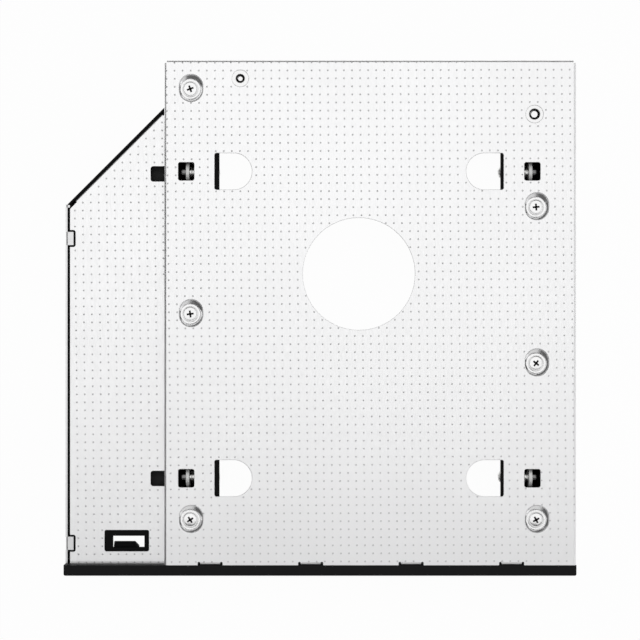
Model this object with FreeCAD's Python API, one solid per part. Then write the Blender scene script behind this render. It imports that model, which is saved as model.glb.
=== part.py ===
import FreeCAD, Part
import math
import os

# Slim-bay caddy for a 2.5 inch drive, lying with its open side down, as separate solids in millimetres.
# X runs across the caddy, Y from the bezel to the rear plug, Z up through the dimpled panel.
# The origin is the middle of the footprint, on the plane that the open side rests on.

V = FreeCAD.Vector

# Overall sizes that the drive doesn't set
HEIGHT = 12.7
BEZEL_DEPTH = 2.7
WING_WIDTH = 25.1
WING_DROP = 3.2
REAR_BAY = 13.8
FRONT_BAY = 12.1
CORNER_FROM_REAR = 11.2

# Folded sheets
SHEET = 0.5
BEND = 0.7
FLOOR_EDGE_INSET = 1.15
FLANGE_INSET = 0.6
FLANGE_HEIGHT = 2.2
WINDOW_CORNER = 0.5
PUNCH_ROUND = 0.12

# Gaps between pieces that meet
FIT = 0.05
RUNNING = 0.05
SLOT_GAP = 0.2
PAST = 1.0

# Mouldings
WALL = 1.5
SKIN = 1.2
LEDGE = 1.2
LEDGE_REACH = 1.5
RIB = 1.2
CELL = 8.5
LEFT_RAIL_WALL = 2.325
RIGHT_RAIL_WALL = 7.825

# The drive that the caddy holds, and the room round it
DRIVE_WIDTH = 69.85
DRIVE_SIDE_GAP = 0.25
DRIVE_HOLE_FROM_PLUG = 14.0
DRIVE_HOLE_PITCH = 76.6
DRIVE_HOLE_FROM_END = 9.6
DRIVE_HOLE_HEIGHT = 3.0
DRIVE_BASE_GAP = 0.2
DRIVE_PLUG_HEIGHT = 3.5
DRIVE_PLUG_OFFSET = -4.8

# Captive clamp screws with their washers, which lie this far outside the rails' faces
CLAMP_REACH_LEFT = 7.975
CLAMP_REACH_RIGHT = 7.575
CLAMP_TRAVEL = 2.3
THREAD_R = 1.5
NECK_R = 1.25
NECK_CLEAR = 0.1
SHANK = 7.95
CLAMP_HEAD_R = 1.6
CLAMP_HEAD = 1.45
CLAMP_WASHER_R = 2.7
CLAMP_WASHER = 0.85
POCKET_GAP = 0.15
HEAD_ROOM = 1.0
DRIVER_R = 2.2

# Windows over the clamp screws and along the drive's sides
SCREW_WINDOW_WIDTH = 3.98
SCREW_WINDOW_LENGTH = 4.5
SCREW_WINDOW_SHIFT = 0.25
SIDE_WINDOW_DEPTH = 9.35
SIDE_WINDOW_R = 4.55
SIDE_WINDOW_LIP_LEFT = 1.15
SIDE_WINDOW_LIP_RIGHT = 0.65
NOTCH_DEPTH = 3.72
NOTCH_LENGTH = 3.9
NOTCH_SHIFT = 0.35
NOTCH_CORNER = 0.7

# Round hole in the panel
ROUND_HOLE_R = 14.0
ROUND_HOLE_SHIFT = -0.3
ROUND_HOLE_FROM_REAR = 53.4

# Screws that hold the panel, in their dished recesses
LEFT_SCREWS_FROM_FACE = 7.225
RIGHT_SCREWS_FROM_FACE = 8.775
LEFT_REAR_SCREW_FROM_REAR = 7.2
LEFT_MIDDLE_SCREW_FROM_CLAMP = 41.0
RIGHT_REAR_SCREW_FROM_CLAMP = 8.9
RIGHT_MIDDLE_SCREW_FROM_CLAMP = 28.7
FRONT_SCREWS_FROM_CLAMP = 10.4
DISH_WIDTH = 5.9
DISH_LENGTH = 6.75
DISH_DEPTH = 0.9
DISH_TAPER = 0.2
DISH_ROUND = 0.25
DISH_SHIFT = 0.2
SCREW_FLANGE_R = 2.5
SCREW_FLANGE = 0.35
SCREW_BOSS_R = 1.75
SCREW_BOSS = 0.45
SCREW_SHANK_R = 1.1
SCREW_SHANK = 5.0
SCREW_HOLE_R = 1.3
SCREW_BORE_SPARE = 0.5
CROSS_LENGTH = 2.0
CROSS_WIDTH = 0.55
CROSS_DEPTH = 0.6
BOSS_WALL = 3.6

# Tabs folded down at the panel's front edge, evenly spaced between the outer two
FRONT_TAB_COUNT = 4
LEFT_TAB_FROM_FACE = 2.25
RIGHT_TAB_FROM_FACE = 2.65
FRONT_TAB_WIDTH = 4.95
FRONT_TAB_DROP = 4.2
RELIEF = 0.65
RELIEF_DEPTH = 0.85

# Hooks of the side cover, and the lip at its rear corner
REAR_HOOK_FROM_CORNER = 8.65
FRONT_HOOK_FROM_FRONT = 5.05
HOOK_LENGTH = 3.3
HOOK_REACH = 2.0
HOOK_GAP = 0.5
HOOK_NOTCH_GAP = 0.55
HOOK_NOTCH_CORNER = 0.6
CORNER_LIP_LENGTH = 0.6
CORNER_LIP_FROM_CORNER = 0.55

# Latch window in the wing and the bezel's snap tongues
LATCH_WINDOW_WIDTH = 11.23
LATCH_WINDOW_LENGTH = 5.43
LATCH_WINDOW_FROM_STEP = 9.7
LATCH_WINDOW_FROM_FRONT = 5.7
CATCH_WIDTH = 7.97
CATCH_LENGTH = 2.91
CATCH_FROM_FRONT = 5.4
CATCH_SHIFT = 0.4
CATCH_FLARE_SIDE = 1.3
CATCH_FLARE_FRONT = 1.5
TONGUE_WIDTH = 6.2
TONGUE_THICK = 1.2
TONGUE_REACH = 5.2
TONGUE_TOP_BELOW_FLOOR = 1.6
BARB_HEIGHT = 1.2
BARB_LENGTH = 1.1
RIGHT_TONGUE_FROM_RIGHT = 10.05

# Bezel
BEZEL_WALL = 1.2
BEZEL_ROUND = 0.5
LIP = 1.0
LIP_THICK = 1.2

# Circuit board and its fixings
BOARD = 1.0
BOARD_SIDE_GAP = 0.4
BOARD_REAR_GAP = 0.7
BOARD_LUG_SIDE = 4.05
BOARD_LUG_FRONT = 3.9
BOARD_CORNER = 1.0
RAIL_TO_BOARD = 1.0
REAR_STUD_FROM_FACE = 5.275
REAR_STUD_FROM_REAR = 4.6
REAR_STUD_COLLAR_R = 2.1
REAR_STUD_BORE_R = 1.05
SIDE_STUD_FROM_FACE = 8.375
SIDE_STUD_FROM_REAR = 13.5
SIDE_STUD_COLLAR_R = 2.2
SIDE_STUD_BORE_R = 1.3
STUD_BODY_R = 2.9
STUD_RECESS = 0.05
BOARD_SCREW_HEAD_R = 2.2
BOARD_SCREW_HEAD = 0.7
BOARD_HOLE_GAP = 0.15
BOARD_SCREW_STOP = 0.35

# Drive-side receptacle: a short signal slot and a long power slot
RECEPTACLE_WIDTH = 40.6
RECEPTACLE_HEIGHT = 5.2
RECEPTACLE_DEPTH = 5.0
RECEPTACLE_GAP = 0.3
SIGNAL_PINS = 7
POWER_PINS = 15
PIN_PITCH = 1.27
SLOT_MARGIN = 0.9
SLOT_HEIGHT = 1.7
SLOT_DEPTH = 4.2
SLOT_KEY = 1.0
SLOT_DIVIDER_WIDTH = 2.4
PIN_WIDTH = 0.6
PIN_THICK = 0.25
PIN_TAIL = 1.4

# Rear plug: two tongues inside a shroud that stands in the rear wall
REAR_PLUG_FROM_FACE = 12.175
REAR_PLUG_WIDTH = 24.6
REAR_PLUG_HEIGHT = 6.0
REAR_PLUG_DEPTH = 5.9
SHROUD_WALL = 0.9
SHROUD_BACK = 1.6
REAR_SIGNAL_PINS = 7
REAR_POWER_PINS = 6
REAR_PIN_PITCH = 1.27
REAR_TONGUE_THICK = 1.2
REAR_TONGUE_MARGIN = 0.5
REAR_TONGUE_DIVIDER_WIDTH = 2.0
REAR_TONGUE_BACK = 0.6

# Small parts on the board
CAPACITOR_LENGTH = 2.0
CAPACITOR_WIDTH = 1.25
CAPACITOR_HEIGHT = 0.9
CAPACITOR_COUNT = 6
CAPACITOR_PITCH = 3.2
CAPACITOR_ROW_FROM_FACE = 7.175
CAPACITOR_ROW_FROM_REAR = 7.4

# Holes in the rear wall for the bay's bracket
BRACKET_HOLE_R = 0.8
BRACKET_PITCH = 8.0
BRACKET_HEIGHT = 6.35
BRACKET_BORE = 4.0

# Sizes that follow from the drive and its clamps
HEAD_SPACE = CLAMP_WASHER / 2 + CLAMP_HEAD + HEAD_ROOM
LEFT_BAY = CLAMP_REACH_LEFT + HEAD_SPACE + LEFT_RAIL_WALL + FIT + SHEET
RIGHT_BAY = CLAMP_REACH_RIGHT + HEAD_SPACE + RIGHT_RAIL_WALL + FIT + SHEET
PANEL_WIDTH = LEFT_BAY + DRIVE_WIDTH + 2 * DRIVE_SIDE_GAP + RIGHT_BAY
WIDTH = WING_WIDTH + PANEL_WIDTH
DRIVE_LENGTH = DRIVE_HOLE_FROM_PLUG + DRIVE_HOLE_PITCH + DRIVE_HOLE_FROM_END
BODY_DEPTH = REAR_BAY + DRIVE_LENGTH + FRONT_BAY

# Planes that follow from the sizes
LEFT = -WIDTH / 2
RIGHT = WIDTH / 2
FRONT = -(BODY_DEPTH + BEZEL_DEPTH) / 2 + BEZEL_DEPTH
REAR = FRONT + BODY_DEPTH
STEP = LEFT + WING_WIDTH
PANEL_UNDER = HEIGHT - SHEET
FLOOR_TOP = HEIGHT - WING_DROP
FLOOR_UNDER = FLOOR_TOP - SHEET
FLOOR_EDGE = LEFT + FLOOR_EDGE_INSET
WING_LEFT = LEFT + SHEET + FIT
DIAGONAL_REAR = REAR - CORNER_FROM_REAR
WING_CORNER = DIAGONAL_REAR - (STEP - WING_LEFT)
DIAGONAL = math.sqrt(2) * (STEP - WING_LEFT)
MOULD_FRONT = FRONT + LIP + SLOT_GAP
LEFT_FACE = STEP + LEFT_BAY
RIGHT_FACE = RIGHT - RIGHT_BAY
DRIVE_X = (LEFT_FACE + RIGHT_FACE) / 2
DRIVE_REAR = REAR - REAR_BAY
LEFT_RAIL_OUTER = STEP + SHEET + FIT
RIGHT_RAIL_OUTER = RIGHT - SHEET - FIT
CLAMP_Z = PANEL_UNDER - DRIVE_BASE_GAP - DRIVE_HOLE_HEIGHT
REAR_CLAMP_Y = DRIVE_REAR - DRIVE_HOLE_FROM_PLUG
FRONT_CLAMP_Y = REAR_CLAMP_Y - DRIVE_HOLE_PITCH
CLAMP_YS = (REAR_CLAMP_Y, FRONT_CLAMP_Y)
BOARD_Z = PANEL_UNDER - DRIVE_BASE_GAP - DRIVE_PLUG_HEIGHT
DISH_Z = HEIGHT - DISH_DEPTH
BRACKET_MIDDLE = (LEFT_RAIL_OUTER + LEFT_FACE) / 2
BRACKET_XS = (BRACKET_MIDDLE - BRACKET_PITCH / 2, BRACKET_MIDDLE + BRACKET_PITCH / 2)
LEFT_SCREWS = [(LEFT_FACE - LEFT_SCREWS_FROM_FACE, y) for y in (
    REAR - LEFT_REAR_SCREW_FROM_REAR,
    FRONT_CLAMP_Y + LEFT_MIDDLE_SCREW_FROM_CLAMP,
    FRONT_CLAMP_Y - FRONT_SCREWS_FROM_CLAMP,
)]
RIGHT_SCREWS = [(RIGHT_FACE + RIGHT_SCREWS_FROM_FACE, y) for y in (
    REAR_CLAMP_Y - RIGHT_REAR_SCREW_FROM_CLAMP,
    FRONT_CLAMP_Y + RIGHT_MIDDLE_SCREW_FROM_CLAMP,
    FRONT_CLAMP_Y - FRONT_SCREWS_FROM_CLAMP,
)]
PANEL_SCREWS = LEFT_SCREWS + RIGHT_SCREWS
FIRST_TAB = LEFT_FACE - LEFT_TAB_FROM_FACE
TAB_PITCH = (RIGHT_FACE + RIGHT_TAB_FROM_FACE - FIRST_TAB) / (FRONT_TAB_COUNT - 1)
TAB_XS = [FIRST_TAB + i * TAB_PITCH for i in range(FRONT_TAB_COUNT)]
HOOK_YS = (WING_CORNER - REAR_HOOK_FROM_CORNER, FRONT + FRONT_HOOK_FROM_FRONT)
LATCH_X = STEP - LATCH_WINDOW_FROM_STEP
CATCH_Y = FRONT + CATCH_FROM_FRONT
TONGUE_TOP = FLOOR_UNDER - TONGUE_TOP_BELOW_FLOOR
STUDS = (
    (LEFT_FACE + REAR_STUD_FROM_FACE, REAR - REAR_STUD_FROM_REAR, REAR_STUD_COLLAR_R, REAR_STUD_BORE_R),
    (RIGHT_FACE + SIDE_STUD_FROM_FACE, REAR - SIDE_STUD_FROM_REAR, SIDE_STUD_COLLAR_R, SIDE_STUD_BORE_R),
)
LUG_FRONT = STUDS[1][1] - BOARD_LUG_FRONT
REAR_PLUG_X = RIGHT_FACE - REAR_PLUG_FROM_FACE
RECEPTACLE_X = DRIVE_X + DRIVE_PLUG_OFFSET
RECEPTACLE_MOUTH = DRIVE_REAR + RECEPTACLE_GAP
RECEPTACLE_BACK = RECEPTACLE_MOUTH + RECEPTACLE_DEPTH


def outline(points, place):
    """Closed wire through (a, b, corner radius) points, with place() putting a and b in space."""
    ends = []
    for i, (a, b, radius) in enumerate(points):
        before, after = points[i - 1], points[(i + 1) % len(points)]
        u = V(before[0] - a, before[1] - b, 0).normalize()
        w = V(after[0] - a, after[1] - b, 0).normalize()
        corner = V(a, b, 0)
        if radius <= 0:
            ends.append((corner, None, corner))
            continue
        half = u.getAngle(w) / 2
        reach = radius / math.tan(half)
        middle = (u + w).normalize() * (radius / math.sin(half) - radius)
        ends.append((corner + u * reach, corner + middle, corner + w * reach))
    edges = []
    for i, (start, middle, end) in enumerate(ends):
        if middle:
            edges.append(Part.Arc(*[place(p.x, p.y) for p in (start, middle, end)]).toShape())
        follow = ends[(i + 1) % len(ends)][0]
        if end.distanceToPoint(follow) > 1e-6:
            edges.append(Part.LineSegment(place(end.x, end.y), place(follow.x, follow.y)).toShape())
    return Part.Wire(edges)


def solid(points, along, start, end):
    """Outline with rounded corners, extruded along one axis from start to end."""
    places = {
        "x": lambda a, b: V(start, a, b),
        "y": lambda a, b: V(a, start, b),
        "z": lambda a, b: V(a, b, start),
    }
    ways = {"x": V(1, 0, 0), "y": V(0, 1, 0), "z": V(0, 0, 1)}
    face = Part.Face(outline(points, places[along]))
    return face.extrude(ways[along] * (end - start))


def rectangle(x, y, width, length, radius=0.0):
    """Corner points of a rectangle about a middle, all with one corner radius."""
    a, b = width / 2, length / 2
    return [(x - a, y - b, radius), (x + a, y - b, radius), (x + a, y + b, radius), (x - a, y + b, radius)]


def box(x0, x1, y0, y1, z0, z1):
    return Part.makeBox(x1 - x0, y1 - y0, z1 - z0, V(x0, y0, z0))


def rod(radius, start, way, length):
    return Part.makeCylinder(radius, length, V(*start), V(*way))


def fuse(shapes):
    return shapes[0].multiFuse(shapes[1:]).removeSplitter()


def cut(shape, tools):
    return shape.cut(tools).removeSplitter()


def obround_loft(x, y, top_z, bottom_z, grow, deeper):
    """Dish for a screw head: an obround at the top that narrows by the taper to one below it."""
    wires = []
    for z, shrink in ((top_z, 0.0), (bottom_z, deeper)):
        width = DISH_WIDTH + 2 * grow - 2 * shrink
        length = DISH_LENGTH + 2 * grow - 2 * shrink
        wires.append(outline(rectangle(x, y, width, length, width / 2), lambda a, b, z=z: V(a, b, z)))
    return Part.makeLoft(wires, True, True)


def dish_centre(screw):
    return screw[0] + DISH_SHIFT, screw[1] + DISH_SHIFT


def dish_rims(plate):
    """Edges of the plate where the dishes meet the panel's face."""
    reach = (DISH_LENGTH + SHEET) / 2
    rims = []
    for x, y in map(dish_centre, PANEL_SCREWS):
        for edge in plate.Edges:
            place = edge.BoundBox
            near = max(abs(place.Center.x - x), abs(place.Center.y - y)) < reach
            if near and HEIGHT - place.ZMin < PAST / 100:
                rims.append(edge)
    return rims


def punched_rims(plate):
    """Edges of the plate where its windows and holes meet the panel's face, without the dishes."""
    inside = box(STEP + 2 * BEND, RIGHT - 2 * BEND, FRONT + 2 * BEND, REAR - 2 * BEND, PANEL_UNDER, HEIGHT + PAST)
    reach = (DISH_LENGTH + SHEET) / 2 + DISH_ROUND
    rims = []
    for edge in plate.Edges:
        place = edge.BoundBox
        flat = HEIGHT - place.ZMin < PAST / 100
        near = [s for s in map(dish_centre, PANEL_SCREWS)
                if max(abs(place.Center.x - s[0]), abs(place.Center.y - s[1])) < reach]
        if flat and inside.BoundBox.isInside(place) and not near:
            rims.append(edge)
    return rims


def clamp_side(side):
    """Washer's middle, rail face and inward direction of the clamp screws on one side."""
    if side == "left":
        return LEFT_FACE - CLAMP_REACH_LEFT, LEFT_FACE, 1
    return RIGHT_FACE + CLAMP_REACH_RIGHT, RIGHT_FACE, -1


def span(a, b):
    return min(a, b), max(a, b)


def cells(low, high, pitch):
    """Equal stretches from low to high with a rib between neighbours."""
    count = max(1, math.ceil((high - low + RIB) / pitch))
    width = (high - low - (count - 1) * RIB) / count
    return [(low + i * (width + RIB), low + i * (width + RIB) + width) for i in range(count)]


def pockets(x0, x1, y0, y1, z0, z1, keep):
    """Grid of hollows that lightens a moulding, clear of the blocks in keep."""
    hollows = [box(a, b, c, d, z0, z1) for a, b in cells(x0, x1, CELL) for c, d in cells(y0, y1, CELL)]
    return Part.makeCompound(hollows).cut(keep)


def diagonal_part(points, start, end):
    """Outline of (distance outwards, height) points, run along the wing's diagonal side.

    Distances count from the outer face of the mould, and start and end from its rear end.
    """
    piece = solid(points, "y", start, end)
    piece.rotate(V(0, 0, 0), V(0, 0, 1), 135)
    piece.translate(V(STEP, DIAGONAL_REAR, 0))
    return piece


def outside_diagonal(inset, z0, z1):
    """Everything outwards of a line inset from the diagonal side."""
    points = [(-inset, z0, 0), (WIDTH, z0, 0), (WIDTH, z1, 0), (-inset, z1, 0)]
    return diagonal_part(points, -WIDTH, WIDTH)


def front_fold(y, x0, x1, drop):
    """Part of the panel that turns down along an edge facing -Y."""
    deep = y + 2 * RELIEF_DEPTH
    points = [(deep, HEIGHT, 0), (y, HEIGHT, BEND), (y, HEIGHT - drop, 0), (y + SHEET, HEIGHT - drop, 0)]
    points += [(y + SHEET, PANEL_UNDER, BEND - SHEET), (deep, PANEL_UNDER, 0)]
    return solid(points, "x", x0, x1)


def panel_openings():
    """Cutters for the holes and windows of the main panel."""
    low, high = PANEL_UNDER - PAST, HEIGHT + PAST
    centre = (DRIVE_X + ROUND_HOLE_SHIFT, REAR - ROUND_HOLE_FROM_REAR, low)
    tools = [rod(ROUND_HOLE_R, centre, (0, 0, 1), high - low)]
    for side, lip in (("left", SIDE_WINDOW_LIP_LEFT), ("right", SIDE_WINDOW_LIP_RIGHT)):
        x, face, inward = clamp_side(side)
        for y in CLAMP_YS:
            window = rectangle(x - inward * SCREW_WINDOW_SHIFT, y, SCREW_WINDOW_WIDTH, SCREW_WINDOW_LENGTH)
            tools.append(solid([(a, b, WINDOW_CORNER) for a, b, _ in window], "z", low, high))
            near = face - inward * lip
            far = near + inward * SIDE_WINDOW_DEPTH
            radii = (WINDOW_CORNER, SIDE_WINDOW_R, SIDE_WINDOW_R, WINDOW_CORNER)
            corners = ((near, -1), (far, -1), (far, 1), (near, 1))
            shape = [(a, y + b * SIDE_WINDOW_R, r) for (a, b), r in zip(corners, radii)]
            tools.append(solid(shape, "z", low, high))
    for x, y, collar, _ in STUDS:
        tools.append(rod(collar, (x, y, low), (0, 0, 1), high - low))
    return tools


def wing_openings():
    """Cutters for the wing floor: driver notches, hook notches and the latch window."""
    tools = []
    for y in CLAMP_YS:
        low, high = y - NOTCH_SHIFT - NOTCH_LENGTH / 2, y - NOTCH_SHIFT + NOTCH_LENGTH / 2
        left, right = STEP - NOTCH_DEPTH, STEP + SHEET + BEND
        shape = [(left, low, NOTCH_CORNER), (right, low, 0), (right, high, 0), (left, high, NOTCH_CORNER)]
        tools.append(solid(shape, "z", FLOOR_UNDER - PAST, CLAMP_Z + DRIVER_R))
    for y in HOOK_YS:
        reach, r = LEFT + HOOK_REACH + HOOK_NOTCH_GAP, HOOK_NOTCH_CORNER
        half = HOOK_LENGTH / 2 + HOOK_GAP
        shape = [(LEFT, y - half, 0), (reach, y - half, r), (reach, y + half, r), (LEFT, y + half, 0)]
        tools.append(solid(shape, "z", FLOOR_UNDER - PAST, FLOOR_TOP + PAST))
    y = FRONT + LATCH_WINDOW_FROM_FRONT
    shape = rectangle(LATCH_X, y, LATCH_WINDOW_WIDTH, LATCH_WINDOW_LENGTH, WINDOW_CORNER)
    tools.append(solid(shape, "z", FLOOR_UNDER - PAST, FLOOR_TOP + PAST))
    return tools


def wall_openings():
    """Cutters for the side and rear walls."""
    through = SHEET + 2 * PAST
    tools = [rod(DRIVER_R, (RIGHT + PAST, y, CLAMP_Z), (-1, 0, 0), through) for y in CLAMP_YS]
    for x in BRACKET_XS:
        tools.append(rod(BRACKET_HOLE_R, (x, REAR + PAST, BRACKET_HEIGHT), (0, -1, 0), through))
    half, tall = REAR_PLUG_WIDTH / 2 + SLOT_GAP, REAR_PLUG_HEIGHT / 2 + SLOT_GAP
    x = REAR_PLUG_X
    tools.append(box(x - half, x + half, REAR + PAST - through, REAR + PAST, BOARD_Z - tall, BOARD_Z + tall))
    return tools


def base_plate():
    """Dimpled sheet folded in one piece: panel, step, wing floor, right, rear and left-rear walls."""
    inner = BEND - SHEET
    section = [
        (FLOOR_EDGE, FLOOR_TOP, 0), (STEP, FLOOR_TOP, inner), (STEP, HEIGHT, BEND), (RIGHT, HEIGHT, BEND),
        (RIGHT, 0, 0), (RIGHT - SHEET, 0, 0), (RIGHT - SHEET, PANEL_UNDER, inner),
        (STEP + SHEET, PANEL_UNDER, inner), (STEP + SHEET, FLOOR_UNDER, BEND), (FLOOR_EDGE, FLOOR_UNDER, 0),
    ]
    plate = solid(section, "y", FRONT, REAR - BEND)
    past_floor = outside_diagonal(FLANGE_INSET + BEND, 0, FLOOR_TOP + inner)
    past_floor = past_floor.common(box(LEFT, STEP, FRONT, REAR, 0, HEIGHT))
    plate = cut(plate, [past_floor, box(LEFT, STEP, DIAGONAL_REAR, REAR, 0, FLOOR_TOP + inner)])

    deep = FLANGE_INSET + 2 * BEND
    flange = [
        (-deep, FLOOR_TOP, 0), (-FLANGE_INSET, FLOOR_TOP, BEND), (-FLANGE_INSET, FLOOR_TOP - FLANGE_HEIGHT, 0),
        (-FLANGE_INSET - SHEET, FLOOR_TOP - FLANGE_HEIGHT, 0), (-FLANGE_INSET - SHEET, FLOOR_UNDER, inner),
        (-deep, FLOOR_UNDER, 0),
    ]
    diagonal = diagonal_part(flange, deep, DIAGONAL - deep)
    left_rear = box(STEP, STEP + SHEET, DIAGONAL_REAR + 2 * FIT, REAR - BEND, 0, FLOOR_TOP + BEND)
    deep_y = REAR - 2 * BEND
    rear = [(deep_y, HEIGHT, 0), (REAR, HEIGHT, BEND), (REAR, 0, 0), (REAR - SHEET, 0, 0)]
    rear += [(REAR - SHEET, PANEL_UNDER, inner), (deep_y, PANEL_UNDER, 0)]
    rear_wall = solid(rear, "x", STEP + BEND, RIGHT - BEND)
    half = FRONT_TAB_WIDTH / 2
    reliefs = [box(x - half, x + half, FRONT - PAST, FRONT + BEND, 0, HEIGHT + PAST) for x in TAB_XS]
    for x in TAB_XS:
        for edge in (x - half - RELIEF / 2, x + half + RELIEF / 2):
            shape = rectangle(edge, FRONT, RELIEF, 2 * RELIEF_DEPTH, RELIEF / 2)
            reliefs.append(solid(shape, "z", PANEL_UNDER - PAST, HEIGHT + PAST))
    tabs = [front_fold(FRONT, x - half, x + half, FRONT_TAB_DROP) for x in TAB_XS]
    plate = fuse([cut(plate, reliefs), diagonal, left_rear, rear_wall] + tabs)

    dishes = [obround_loft(*dish_centre(s), PANEL_UNDER, DISH_Z - SHEET, SHEET - DISH_TAPER, DISH_TAPER)
              for s in PANEL_SCREWS]
    hollows = [obround_loft(*dish_centre(s), HEIGHT, DISH_Z, 0, DISH_TAPER) for s in PANEL_SCREWS]
    through = SHEET + 2 * PAST
    holes = [rod(SCREW_HOLE_R, (x, y, DISH_Z + PAST), (0, 0, -1), through) for x, y in PANEL_SCREWS]
    plate = cut(fuse([plate] + dishes), hollows)
    plate = plate.makeFillet(DISH_ROUND, dish_rims(plate))
    plate = cut(plate, holes + panel_openings() + wing_openings() + wall_openings())
    return plate.makeFillet(PUNCH_ROUND, punched_rims(plate))


def cover_hooks():
    """Middle, length, reach and end gap of the side cover's hooks and of its corner lip."""
    hooks = [(y, HOOK_LENGTH, HOOK_REACH, HOOK_GAP) for y in HOOK_YS]
    return hooks + [(WING_CORNER - CORNER_LIP_FROM_CORNER, CORNER_LIP_LENGTH, FLOOR_EDGE_INSET - FIT, FIT)]


def side_cover():
    """Sheet that closes the wing's open side and turns up as its outer wall, with hooks at its top."""
    inner = BEND - SHEET
    edge = STEP + SHEET - FIT
    fold = [
        (LEFT + 2 * BEND, 0, 0), (LEFT, 0, BEND), (LEFT, FLOOR_TOP, 0), (LEFT + SHEET, FLOOR_TOP, 0),
        (LEFT + SHEET, SHEET, inner), (LEFT + 2 * BEND, SHEET, 0),
    ]
    wall = solid(fold, "y", FRONT, WING_CORNER - FIT)
    top = DIAGONAL_REAR - SLOT_GAP
    face = [
        (LEFT + BEND, FRONT, 0), (edge, FRONT, 0), (edge, top, 0), (STEP, top, 0),
        (LEFT + BEND, top - (STEP - LEFT - BEND), 0),
    ]
    pieces = [wall, solid(face, "z", 0, SHEET)]
    corners = []
    for y, length, reach, _ in cover_hooks():
        half, low, tip = length / 2, FLOOR_TOP - 2 * BEND, LEFT + reach
        corners.append(box(LEFT, LEFT + SHEET, y - half, y + half, FLOOR_TOP - BEND, FLOOR_TOP))
        shape = [
            (LEFT, low, 0), (LEFT, FLOOR_TOP, BEND), (tip, FLOOR_TOP, 0), (tip, FLOOR_UNDER, 0),
            (LEFT + SHEET, FLOOR_UNDER, inner), (LEFT + SHEET, low, 0),
        ]
        pieces.append(solid(shape, "y", y - half, y + half))
    sight = catch_flare(SHEET + PAST, -PAST)
    return fuse([cut(fuse(pieces[:2]), corners + [sight])] + pieces[2:])


def screw_room(screws):
    """Cutters in a rail for the dishes of the panel screws and for their shanks."""
    tools = []
    for screw in screws:
        x, y = dish_centre(screw)
        tools.append(obround_loft(x, y, PANEL_UNDER, DISH_Z - SHEET, SHEET - DISH_TAPER + FIT, DISH_TAPER))
        low = DISH_Z - SCREW_SHANK - SCREW_BORE_SPARE
        tools.append(rod(SCREW_SHANK_R + FIT, (screw[0], screw[1], low), (0, 0, 1), DISH_Z - low))
    return tools


def clamp_room(side, outer):
    """Cutters in a rail for its clamp screws: washer pocket, threaded bore and driver channel."""
    x, face, inward = clamp_side(side)
    tools = []
    back = x - inward * HEAD_SPACE
    front = x + inward * (CLAMP_WASHER / 2 + CLAMP_TRAVEL + POCKET_GAP)
    half = CLAMP_WASHER_R + POCKET_GAP
    for y in CLAMP_YS:
        tools.append(box(*span(back, front), y - half, y + half, CLAMP_Z - half, PANEL_UNDER + PAST))
        length = abs(face - front) + PAST
        tools.append(rod(THREAD_R + RUNNING, (front, y, CLAMP_Z), (inward, 0, 0), length))
        length = abs(outer - back) + PAST
        tools.append(rod(DRIVER_R, (back, y, CLAMP_Z), (-inward, 0, 0), length))
    return tools


def clamp_blocks(x0, x1):
    """Solid stretches of a rail round its clamp screws."""
    half = CLAMP_WASHER_R + POCKET_GAP + WALL
    return [box(x0, x1, y - half, y + half, 0, HEIGHT) for y in CLAMP_YS]


def screw_blocks(screws):
    return [rod(SCREW_SHANK_R + BOSS_WALL, (x, y, 0), (0, 0, 1), HEIGHT) for x, y in screws]


def tongue_room(x, z_top):
    """Cutter for one snap tongue: its channel and the opening that its barb stands in."""
    half = TONGUE_WIDTH / 2 + SLOT_GAP
    low, high = z_top - TONGUE_THICK - SLOT_GAP, z_top + SLOT_GAP
    channel = box(x - half, x + half, FRONT, FRONT + TONGUE_REACH + SLOT_GAP, low, high)
    centre = x + (CATCH_WIDTH - TONGUE_WIDTH) / 2 - SLOT_GAP
    opening = rectangle(centre, CATCH_Y, CATCH_WIDTH, CATCH_LENGTH)
    return [channel, solid(opening, "z", -PAST, HEIGHT)]


def catch_flare(top, bottom):
    """Wider stretch of the left catch's opening, towards the outer side and the front."""
    right = LATCH_X + CATCH_SHIFT + CATCH_WIDTH / 2
    left = right - CATCH_WIDTH - CATCH_FLARE_SIDE
    return box(left, right, CATCH_Y - CATCH_LENGTH / 2 - CATCH_FLARE_FRONT, CATCH_Y + CATCH_LENGTH / 2, bottom, top)


def left_tongue_x():
    return LATCH_X + CATCH_SHIFT - (CATCH_WIDTH - TONGUE_WIDTH) / 2 + SLOT_GAP


def latch_block(x):
    """Solid corner of a moulding round a snap tongue."""
    half = LATCH_WINDOW_WIDTH / 2 + SLOT_GAP
    middle = x + (CATCH_WIDTH - TONGUE_WIDTH) / 2
    end = FRONT + LATCH_WINDOW_FROM_FRONT + LATCH_WINDOW_LENGTH / 2 + WALL
    return box(middle - half, middle + half, FRONT, end, 0, HEIGHT)


def under_ledge(x0, x1):
    """Cutter that sets a rail's side back from the drive, below the ledge at its top."""
    return box(x0, x1, FRONT, DRIVE_REAR, -PAST, PANEL_UNDER - LEDGE)


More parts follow.
